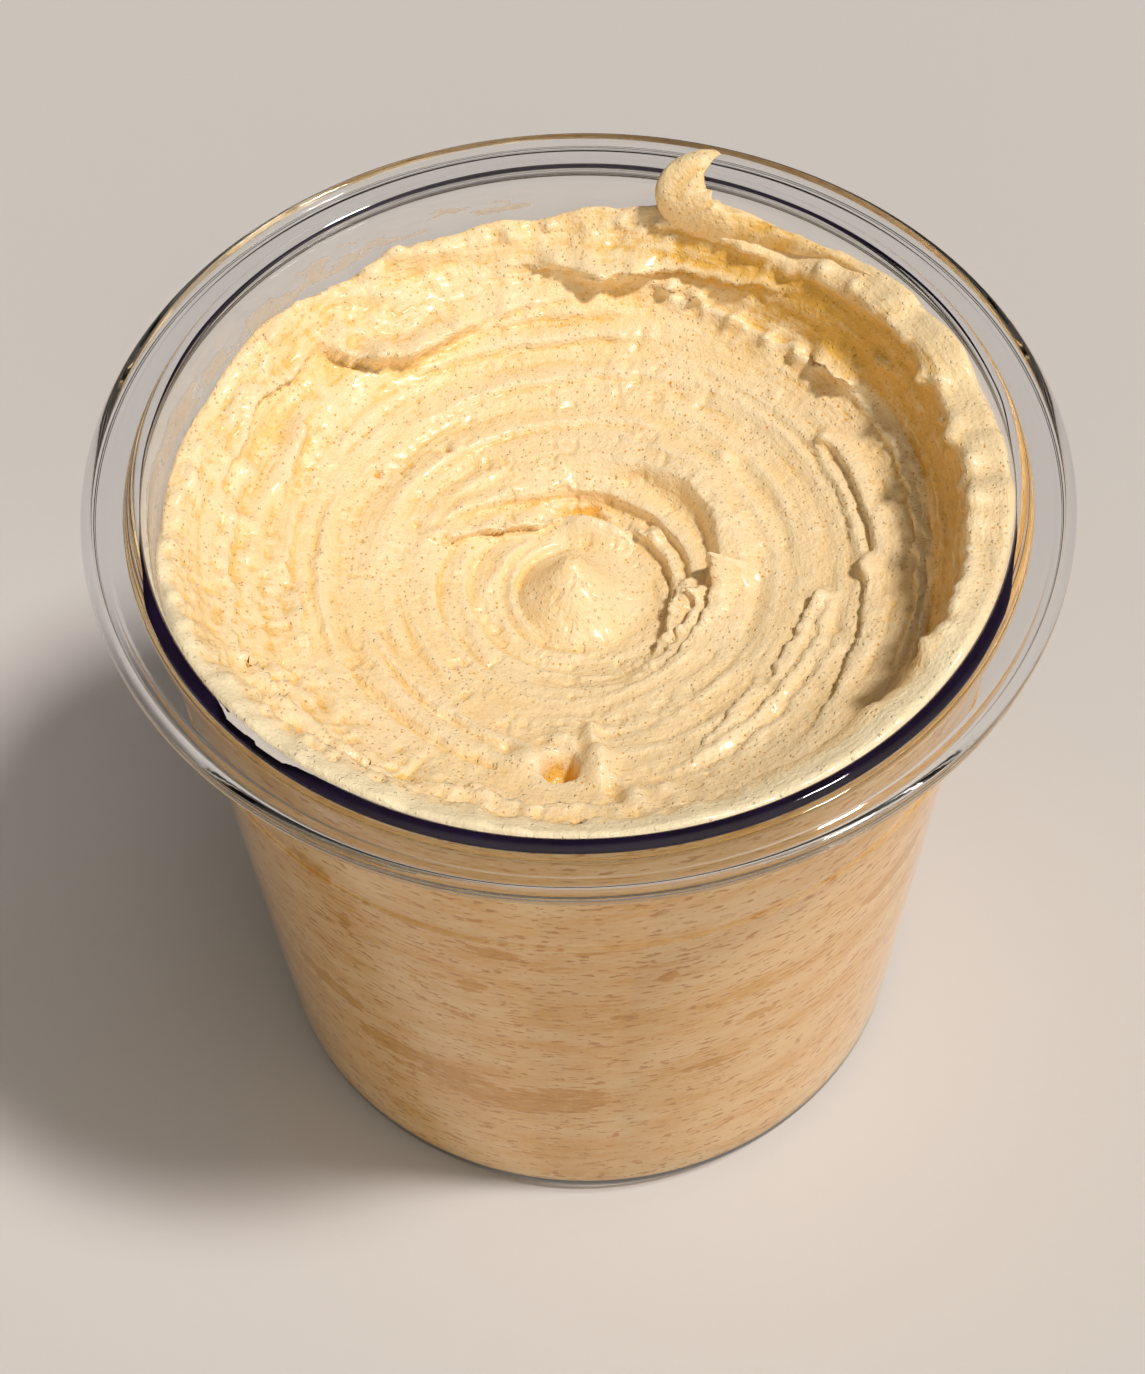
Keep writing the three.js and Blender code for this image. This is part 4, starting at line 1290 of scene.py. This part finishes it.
    def moved(self, points: Array, rise: Array, shift: Array) -> Array:
        """Moves each point along the surface's own normal by rise, and away from the axis by shift.

        Args:
            points: The surface, in columns and rows.
            rise: How far each point rises.
            shift: How far it moves outwards.

        Returns:
            The moved surface.
        """
        flat = points[..., :2] / np.maximum(np.hypot(points[..., 0], points[..., 1]), 1e-6)[..., None]
        out = np.concatenate([flat, np.zeros_like(flat[..., :1])], -1)
        return points + self.normals(points) * rise[..., None] + out * shift[..., None]

    def normals(self, points: Array) -> Array:
        """The surface's normals, which are upright in the very middle.

        Args:
            points: The surface, in columns and rows.

        Returns:
            The normal at each point, of length 1.
        """
        along = np.roll(points, -1, 0) - np.roll(points, 1, 0)
        down = np.gradient(points, axis=1)
        normal = np.cross(down, along)
        normal *= np.sign(normal[..., 2:3] + 1e-12)
        length = np.linalg.norm(normal, axis=-1, keepdims=True)
        normal = np.where(length > 1e-9, normal / np.maximum(length, 1e-9), [0.0, 0.0, 1.0])
        upright = smooth((4 - np.hypot(points[..., 0], points[..., 1])) / 3)[..., None]
        return normal * (1 - upright) + np.array([0.0, 0.0, 1.0]) * upright

    def with_dome(self, points: Array) -> Array:
        """Raises the dome in the middle, and draws its tip out towards the back.

        Args:
            points: The surface, in columns and rows.

        Returns:
            The surface with the dome.
        """
        x, y = points[..., 0], points[..., 1]
        # Each point's share of the way from the apex to the dome's round foot.
        dx, dy = x - self.dome_apex[0], y - self.dome_apex[1]
        ax, ay = self.dome_apex[0] - self.dome[0], self.dome_apex[1] - self.dome[1]
        square = np.maximum(dx**2 + dy**2, 1e-9)
        dot = ax * dx + ay * dy
        way = (np.sqrt(dot**2 + square * (self.dome_radius**2 - ax**2 - ay**2)) - dot) / square
        far = 1 / way * (1 + 0.03 * Grain(41).layered(x / 3.5, y / 3.5, 2))
        dome = self.dome_height * np.exp(-((far / 0.66) ** 2.5))
        near = np.hypot(x - self.tip[0], y - self.tip[1]) / self.tip_radius
        tip = np.exp(-(near**3.0))
        moved = points.copy()
        moved[..., 2] += dome + self.tip_height * tip
        moved[..., 1] += self.tip_lean * tip**1.4
        return moved

    def painted_light_tone(self, points: Array, height: Array) -> Array:
        """Works out the painted light and shade: deeper in creases, hollows and on steep walls, paler on crests and
        on the right.

        Args:
            points: The place of each point on the plain top.
            height: Its height over that.

        Returns:
            A share from 0, deep, to 1, pale.
        """
        fine = height - self.blurred(height, 1, 2)
        narrow = height - self.blurred(height, 2, 2)
        wide = height - self.blurred(height, 5, 4)
        level = points[..., 2] + height
        radius = np.hypot(points[..., 0], points[..., 1])
        # Painted shade in hollows.
        hollow = smooth((self.blurred(level, 9, 5) - level - 0.6) / 2.4)
        steep = smooth((0.8 - self.blurred(self.normals(points)[..., 2], 3, 2)) / 0.5)
        # Painted shade in creases and painted highlights on crests, from the relief.
        relief = np.clip(1.2 * fine + 0.65 * narrow + 0.1 * wide, self.painted_crease_shade, self.painted_crest_light)
        # Painted light: the right side, where the light is weaker, is painted paler, and the left deeper.
        angle = np.arctan2(points[..., 1], points[..., 0])
        painted_light_right = 0.12 * np.cos(angle + math.radians(20)) * smooth((radius - 8) / 10)
        # Painted shade on steep walls, least on the left and most on the right, where the walls lie in shade.
        least, most = self.painted_wall_shade
        wall = least + (most - least) * smooth(0.6 + 0.7 * np.cos(angle - math.radians(25)))
        painted_light_tone = self.plain_tone + painted_light_right + relief * (1 - 0.4 * steep) - wall * steep - self.painted_hollow_shade * hollow
        return np.clip(painted_light_tone, 0.02, 1)

    def blurred(self, values: Array, step: int, times: int) -> Array:
        """Averages each value with those round it, several times over.

        Args:
            values: A value for each column and row.
            step: How far off the averaged neighbours lie.
            times: How often it is done.

        Returns:
            The blurred values.
        """
        for _ in range(times):
            values = (np.roll(values, step, 0) + values + np.roll(values, -step, 0)) / 3
            padded = np.pad(values, ((0, 0), (step, step)), "edge")
            values = (padded[:, : -2 * step] + padded[:, step:-step] + padded[:, 2 * step :]) / 3
        return values

    def side(self, crest: Array) -> Array:
        """The fill's side and bottom, in rows from the bottom's middle up to the edge of the top.

        Args:
            crest: Height of the edge in each column.

        Returns:
            Radius and height of each point, in columns and rows.
        """
        tub = self.tub
        bottom = tub.base_thickness - self.into_wall
        corner = tub.base_corner - tub.wall
        corner_z = bottom + corner
        corner_r = float(tub.inner_radius(corner_z)) + self.into_wall - corner
        fixed = [(0.0, bottom), *arc(corner_r, corner_z, corner, -90, 0, 4)]
        heights = np.linspace(corner_z, tub.ledge_z, self.side_rows + 2)[1:]
        fixed += [(float(tub.inner_radius(z)) + self.into_wall, float(z)) for z in heights]
        rows = np.empty((len(crest), len(fixed) + self.collar_rows, 2))
        rows[:, : len(fixed)] = fixed
        share = (np.arange(self.collar_rows) + 1) / (self.collar_rows + 1)
        z = tub.ledge_z + (crest[:, None] - self.edge_drop - tub.ledge_z) * share
        rows[:, len(fixed) :, 0] = tub.inner_radius(z) + self.into_wall
        rows[:, len(fixed) :, 1] = z
        return rows

    def amber(self, angle: Array, side: Array) -> Array:
        """How deep in an amber patch each point of the side lies, from 0 to 1.

        Args:
            angle: Angle of each column.
            side: Radius and height of each point.

        Returns:
            The depth of each point.
        """
        wide = np.broadcast_to(angle[:, None], side.shape[:2])
        deep = np.zeros(side.shape[:2])
        for place, z, length, height in PATCHES:
            aside = (np.mod(wide - place + 180, 360) - 180) * math.pi / 180 * side[..., 0]
            reach = (aside / length) ** 2 + ((side[..., 1] - z - 0.12 * aside) / height) ** 2
            deep = np.maximum(deep, np.exp(-reach * 0.7))
        return deep

    def build(self, custard: bpy.types.Material, pressed: bpy.types.Material) -> bpy.types.Object:
        """Lays one closed surface round the fill.

        Args:
            custard: The finish of the churned top.
            pressed: The finish against the wall.

        Returns:
            The fill as one closed mesh.
        """
        angle = np.arange(self.columns) * 360.0 / self.columns
        side = self.side(self.crest_line(angle))
        top, painted_light_tone, film, run = self.surface()
        turned = np.radians(angle)[:, None]
        low = np.stack([side[..., 0] * np.cos(turned), side[..., 0] * np.sin(turned), side[..., 1]], -1)
        points = np.concatenate([low, top], 1)
        points[:, -1] = points[:, -1].mean(0)
        flags = {
            "painted_light_tone": np.concatenate([np.full(side.shape[:2], 0.5), painted_light_tone], 1),
            "film": np.concatenate([np.zeros(side.shape[:2]), film], 1),
            "side": np.concatenate([np.ones(side.shape[:2]), np.zeros(painted_light_tone.shape)], 1),
            "amber": np.concatenate([self.amber(angle, side), np.zeros(painted_light_tone.shape)], 1),
            "run": np.concatenate([side[..., 1], run], 1),
        }
        bm = wrap_grid(points, flags)
        layer = bm.verts.layers.float["side"]
        for face in bm.faces:
            face.material_index = int(max(vert[layer] for vert in face.verts) > 0.5)
        piece = finish_piece(bm, "ice_cream_churned", custard)
        piece.data.materials.append(pressed)
        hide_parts("ice_cream")
        return piece


@dataclass
class Tongue:
    """The end of the rolled edge: a ribbon along the wall that curls up over the rim to a hooked tip."""

    # Middle line, as radius, angle and height, from its root in the rolled edge to its tip.
    path: tuple[tuple[float, float, float], ...] = (
        (50.9, 40.0, 101.9), (50.6, 50.0, 100.5), (50.2, 58.5, 99.5), (49.9, 65.0, 99.2), (49.9, 70.0, 100.0),
        (50.6, 72.6, 102.6), (52.6, 72.3, 104.9), (54.8, 71.0, 105.7), (56.4, 69.8, 105.3), (57.0, 69.0, 104.7),
    )
    half_width: tuple[float, ...] = (1.2, 2.2, 3.0, 3.5, 3.9, 3.6, 2.7, 1.9, 1.2, 0.6)
    half_thickness: tuple[float, ...] = (0.9, 1.3, 1.7, 1.8, 1.8, 1.5, 1.15, 0.9, 0.7, 0.45)
    rings: int = 130
    segments: int = 72

    def along(self, share: Array, values: Array) -> Array:
        """Reads values that are spread evenly along the tongue, on a smooth curve through them.

        Args:
            share: Shares of the way along it.
            values: One value, or one row of values, for each place.

        Returns:
            The value at each share, in a column for each part.
        """
        values = np.asarray(values, float)
        values = values.reshape(len(values), -1)
        n = len(values) - 1
        t = np.clip(share, 0, 1) * n
        i = np.minimum(t.astype(int), n - 1)
        f = (t - i)[:, None]
        p = np.concatenate([[2 * values[0] - values[1]], values, [2 * values[-1] - values[-2]]])
        a, b, c, d = p[i], p[i + 1], p[i + 2], p[i + 3]
        return 0.5 * (2 * b + (c - a) * f + (2 * a - 5 * b + 4 * c - d) * f**2 + (3 * b - a - 3 * c + d) * f**3)

    def build(self, custard: bpy.types.Material) -> bpy.types.Object:
        """Draws a sphere out along the middle line.

        Args:
            custard: The ice cream's finish.

        Returns:
            The tongue, whose root lies inside the fill.
        """
        bm = bmesh.new()
        bmesh.ops.create_uvsphere(bm, u_segments=self.segments, v_segments=self.rings, radius=1.0)
        unit = np.array([v.co for v in bm.verts])
        share = np.arccos(np.clip(unit[:, 2], -1, 1)) / math.pi
        line = [(r * math.cos(math.radians(a)), r * math.sin(math.radians(a)), z) for r, a, z in self.path]
        place = self.along(share, line)
        ahead = self.along(share + 0.004, line) - self.along(share - 0.004, line)
        ahead /= np.linalg.norm(ahead, axis=1, keepdims=True)
        # The ribbon lies on the wall, and turns to lie on the rim.
        inward = -place * [1, 1, 0] / np.linalg.norm(place[:, :2], axis=1, keepdims=True)
        over = smooth((share - 0.45) / 0.3)[:, None]
        thick = inward * (1 - over) + np.array([0.0, 0.0, 1.0]) * over
        thick -= ahead * (thick * ahead).sum(1, keepdims=True)
        thick /= np.maximum(np.linalg.norm(thick, axis=1, keepdims=True), 1e-9)
        across = np.cross(thick, ahead)
        ring = np.hypot(unit[:, 0], unit[:, 1])
        full = np.minimum(ring**0.6, 1.0) / np.maximum(ring, 1e-9)
        width = self.along(share, self.half_width)
        depth = self.along(share, self.half_thickness)
        outward = across * unit[:, :1] * width * full[:, None] + thick * unit[:, 1:2] * depth * full[:, None]
        wave = Grain(51).layered(place[:, 0] / 1.9 + unit[:, 0], place[:, 2] / 1.9 + 2 * unit[:, 1], 3)
        points = place + outward * (1 + 0.13 * wave[:, None])
        for vert, point in zip(bm.verts, points):
            vert.co = Vector(point) * MM
        bmesh.ops.recalc_face_normals(bm, faces=bm.faces)
        piece = finish_piece(bm, "ice_cream_tongue", custard)
        # Painted light and shade: paler on the ribbon's bulges and towards its tip, deeper gold at its root.
        painted_light_tone = piece.data.attributes.new("painted_light_tone", "FLOAT", "POINT")
        pale = 0.36 + 0.25 * wave + 0.2 * smooth((share - 0.35) / 0.25)
        painted_light_tone.data.foreach_set("value", np.clip(pale, 0, 1).astype(np.float32))
        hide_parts("ice_cream")
        return piece


# ----------------------------------------------------------------- smears
@dataclass(frozen=True)
class Frost:
    """Ice crystals and melt that froze thin on cold plastic: matt, grey-white and half clear."""

    name: str = "frost_frozen_on_plastic"
    pale: str = "#F2EFF0"
    dull: str = "#CFC6BC"
    patch_mm: float = 1.4
    grain_mm: float = 0.35
    grain_depth_mm: float = 0.1
    roughness: float = 0.5
    cover: float = 0.8

    def build(self) -> bpy.types.Material:
        """Makes the material: streaks of two greys over crystals.

        Returns:
            The material.
        """
        recipe = Recipe(self.name)
        streaks = recipe.noise(self.patch_mm, detail=4.0, roughness=0.7)
        crystals = recipe.noise(self.grain_mm, detail=2.0)
        return recipe.close(recipe.principled({
            "Base Color": recipe.blend(streaks, self.dull, self.pale), "Roughness": self.roughness,
            "Alpha": self.cover, "Normal": recipe.bump(crystals, self.grain_depth_mm),
        }))


@dataclass(frozen=True)
class Smear:
    """A thin ragged layer on the tub: where it starts and ends round it, and how much of its area it covers.

    Its lower and upper edge are shares of the way over the ring round the mouth, from inside out, or heights on the
    inner wall.
    """

    name: str
    start: float
    end: float
    edges: tuple[tuple[float, float, float], ...]
    cover: float
    seed: int
    on_ring: bool = False
    cell_mm: float = 0.22
    streak_mm: float = 5.0
    width_mm: float = 1.3
    thickness_mm: float = 0.05

    def place(self, tub: Tub, angle: float, level: float) -> Vector:
        """A point just off the tub's surface.

        Args:
            tub: The tub.
            angle: Angle round the tub.
            level: Height on the wall, or share of the way over the ring.

        Returns:
            The point, in metres.
        """
        bend = (tub.mouth_outer - tub.mouth_inner) / 2
        if self.on_ring:
            lift = bend + self.thickness_mm
            turn = math.pi * (1 - level)
            radius = tub.mouth_inner + bend + lift * math.cos(turn)
            height = tub.mouth_top - bend + lift * math.sin(turn)
        else:
            radius, height = float(tub.inner_radius(level)) - 2 * self.thickness_mm, level
        a = math.radians(angle)
        return Vector((radius * math.cos(a), radius * math.sin(a), height)) * MM

    def build(self, tub: Tub, finish: bpy.types.Material) -> bpy.types.Object:
        """Cuts the ragged outline from a grid on the tub's surface and gives it its thickness.

        Args:
            tub: The tub that it lies on.
            finish: Its material.

        Returns:
            The smear as closed shells.
        """
        across = [max(high - low, 0.0) for _, low, high in self.edges]
        tall = max(across) * (math.pi * (tub.mouth_outer - tub.mouth_inner) / 2 if self.on_ring else 1.0)
        long = math.radians(self.end - self.start) * tub.mouth_inner
        columns, rows = round(long / self.cell_mm), round(tall / self.cell_mm)
        bm = bmesh.new()
        bmesh.ops.create_grid(bm, x_segments=columns, y_segments=rows, size=0.5)
        share = np.array([vert.co.xy for vert in bm.verts]) + 0.5
        angle = self.start + (self.end - self.start) * share[:, 0]
        places, lows, highs = (np.array(column) for column in zip(*self.edges))
        low, high = np.interp(angle, places, lows), np.interp(angle, places, highs)
        level = low + (high - low) * share[:, 1]
        ragged = Grain(self.seed).layered(share[:, 0] * long / self.streak_mm, share[:, 1] * tall / self.width_mm, 4)
        border = np.minimum(share[:, 0], 1 - share[:, 0]) * long / self.streak_mm
        border = np.minimum(border, np.minimum(share[:, 1], 1 - share[:, 1]) * (high - low) / max(across) * 4)
        kept = 0.9 * ragged + 2.2 * (self.cover - 0.5) > 1.2 * (1 - smooth(border))
        for vert, a, z in zip(bm.verts, angle, level):
            vert.co = self.place(tub, a, z)
        gone = [vert for vert, keep in zip(bm.verts, kept) if not keep]
        bmesh.ops.delete(bm, geom=gone, context="VERTS")
        loose = [vert for vert in bm.verts if not vert.link_faces]
        bmesh.ops.delete(bm, geom=loose, context="VERTS")
        outline = [vert for vert in bm.verts if vert.is_boundary]
        for _ in range(3):
            bmesh.ops.smooth_vert(bm, verts=outline, factor=0.5, use_axis_x=True, use_axis_y=True, use_axis_z=True)
        bmesh.ops.solidify(bm, geom=bm.faces, thickness=self.thickness_mm * MM)
        bmesh.ops.recalc_face_normals(bm, faces=bm.faces)
        piece = finish_piece(bm, self.name, finish)
        return piece


SMEARS = (
    Smear("frost_on_ring", 217.5, 254.0, (
        (217, 0.02, 0.2), (221, 0.02, 0.66), (231, 0.02, 0.6), (238, 0.02, 0.34), (254, 0.02, 0.1),
    ), 0.8, 71, on_ring=True, cell_mm=0.1, width_mm=0.7),
    Smear("film_on_back_wall", 92.0, 158.0, (
        (92, 96.8, 100.6), (112, 96.4, 101.2), (135, 95.6, 101.4), (158, 96.2, 100.2),
    ), 0.55, 72),
    Smear("film_on_left_wall", 152.0, 204.0, (
        (152, 96.0, 100.8), (176, 96.0, 101.8), (192, 98.2, 102.2), (204, 101.0, 102.6),
    ), 0.6, 75, streak_mm=8.0, width_mm=2.0),
)


# ----------------------------------------------------------------- studio
@dataclass
class Studio:
    """The pale floor, the light from the right and the camera."""

    floor_size: float = 3000.0
    # Directions point from the pint to the light. The softness is the sun's angle.
    sun_from: tuple[float, float, float] = (0.448, -0.092, 0.889)
    sun_strength: float = 2.5
    sun_colour: str = "#FFF8EE"
    sun_softness: float = 6.5
    sky_front: float = 0.82
    sky_back: float = 0.03
    sky_colour: str = "#FFF4DF"
    sky_towards: tuple[float, float, float] = (0.3, -0.9, 0.3)
    # Fitted to the photograph: focal length in its pixels, turns, and place.
    focal_px: float = 2801.0
    sensor: float = 36.0
    pitch: float = 53.722
    roll: float = -1.792
    stand: tuple[float, float, float] = (-1.3747, -221.0531, 361.0143)

    def build_floor(self, finish: bpy.types.Material) -> None:
        """Lays the floor under the tub.

        Args:
            finish: The floor's finish.
        """
        bm = bmesh.new()
        bmesh.ops.create_grid(bm, x_segments=1, y_segments=1, size=self.floor_size / 2 * MM)
        mesh = bpy.data.meshes.new("floor")
        bm.to_mesh(mesh)
        bm.free()
        mesh.materials.append(finish)
        floor = bpy.data.objects.new("floor", mesh)
        bpy.context.scene.collection.objects.link(floor)

    def build_light(self) -> None:
        """Adds the key light, and the room's light, which comes from the front and fades towards the back."""
        lamp = bpy.data.lights.new("key", "SUN")
        lamp.energy = self.sun_strength
        lamp.color = linear(self.sun_colour)[:3]
        lamp.angle = math.radians(self.sun_softness)
        key = bpy.data.objects.new("key", lamp)
        key.rotation_mode = "QUATERNION"
        key.rotation_quaternion = Vector(self.sun_from).to_track_quat("Z", "Y")
        bpy.context.scene.collection.objects.link(key)
        world = bpy.data.worlds.new("studio")
        world.use_nodes = True
        tree = world.node_tree
        place = add_node(tree, "ShaderNodeTexCoord").outputs["Generated"]
        ahead = add_node(tree, "ShaderNodeVectorMath", {"operation": "DOT_PRODUCT"}, {0: place, 1: self.sky_towards})
        bright = add_node(tree, "ShaderNodeMapRange", {"interpolation_type": "SMOOTHSTEP"}, {
            "Value": ahead.outputs["Value"], "From Min": 0.0, "From Max": 1.0,
            "To Min": self.sky_back, "To Max": self.sky_front,
        })
        sky = tree.nodes["Background"]
        sky.inputs["Color"].default_value = linear(self.sky_colour)
        tree.links.new(bright.outputs["Result"], sky.inputs["Strength"])
        bpy.context.scene.world = world

    def build_camera(self) -> None:
        """Places the camera where the photograph was taken from."""
        camera = bpy.data.cameras.new("camera")
        camera.sensor_width = self.sensor
        camera.lens = self.focal_px * self.sensor / max(PHOTO_WIDTH, PHOTO_HEIGHT)
        camera.clip_start = 0.01
        camera.clip_end = 20.0
        pitch, roll = math.radians(self.pitch), math.radians(self.roll)
        level = Vector((1, 0, 0))
        level_up = Vector((0, math.sin(pitch), math.cos(pitch)))
        right = level * math.cos(roll) + level_up * math.sin(roll)
        up = level_up * math.cos(roll) - level * math.sin(roll)
        turn = Matrix((right, up, right.cross(up))).transposed()
        holder = bpy.data.objects.new("camera", camera)
        holder.matrix_world = Matrix.Translation(Vector(self.stand) * MM) @ turn.to_4x4()
        bpy.context.scene.collection.objects.link(holder)
        bpy.context.scene.camera = holder
        bpy.context.scene.view_settings.view_transform = "Standard"


def main() -> None:
    """Builds the pint and its studio."""
    logging.basicConfig(level=logging.INFO, format="%(name)s %(message)s")
    custard = Custard().build()
    tub = Tub()
    tub.build(ClearPlastic().build())
    # The painted violet reflection in the ring round the mouth and in the base's corner.
    tint = PaintedVioletReflection().build()
    tub.build_painted_reflection(tint)
    tub.build_base_painted_reflection(tint)
    IceCream(tub).build(custard, PressedCustard().build())
    Tongue().build(custard)
    frost, film = Frost().build(), Frost("melt_dried_on_plastic", pale="#E6DFDA", dull="#C9B69C", cover=0.36).build()
    for smear in SMEARS:
        smear.build(tub, frost if smear.on_ring else film)
    studio = Studio()
    studio.build_floor(StudioFloor().build())
    studio.build_light()
    studio.build_camera()


if __name__ == "__main__":
    main()
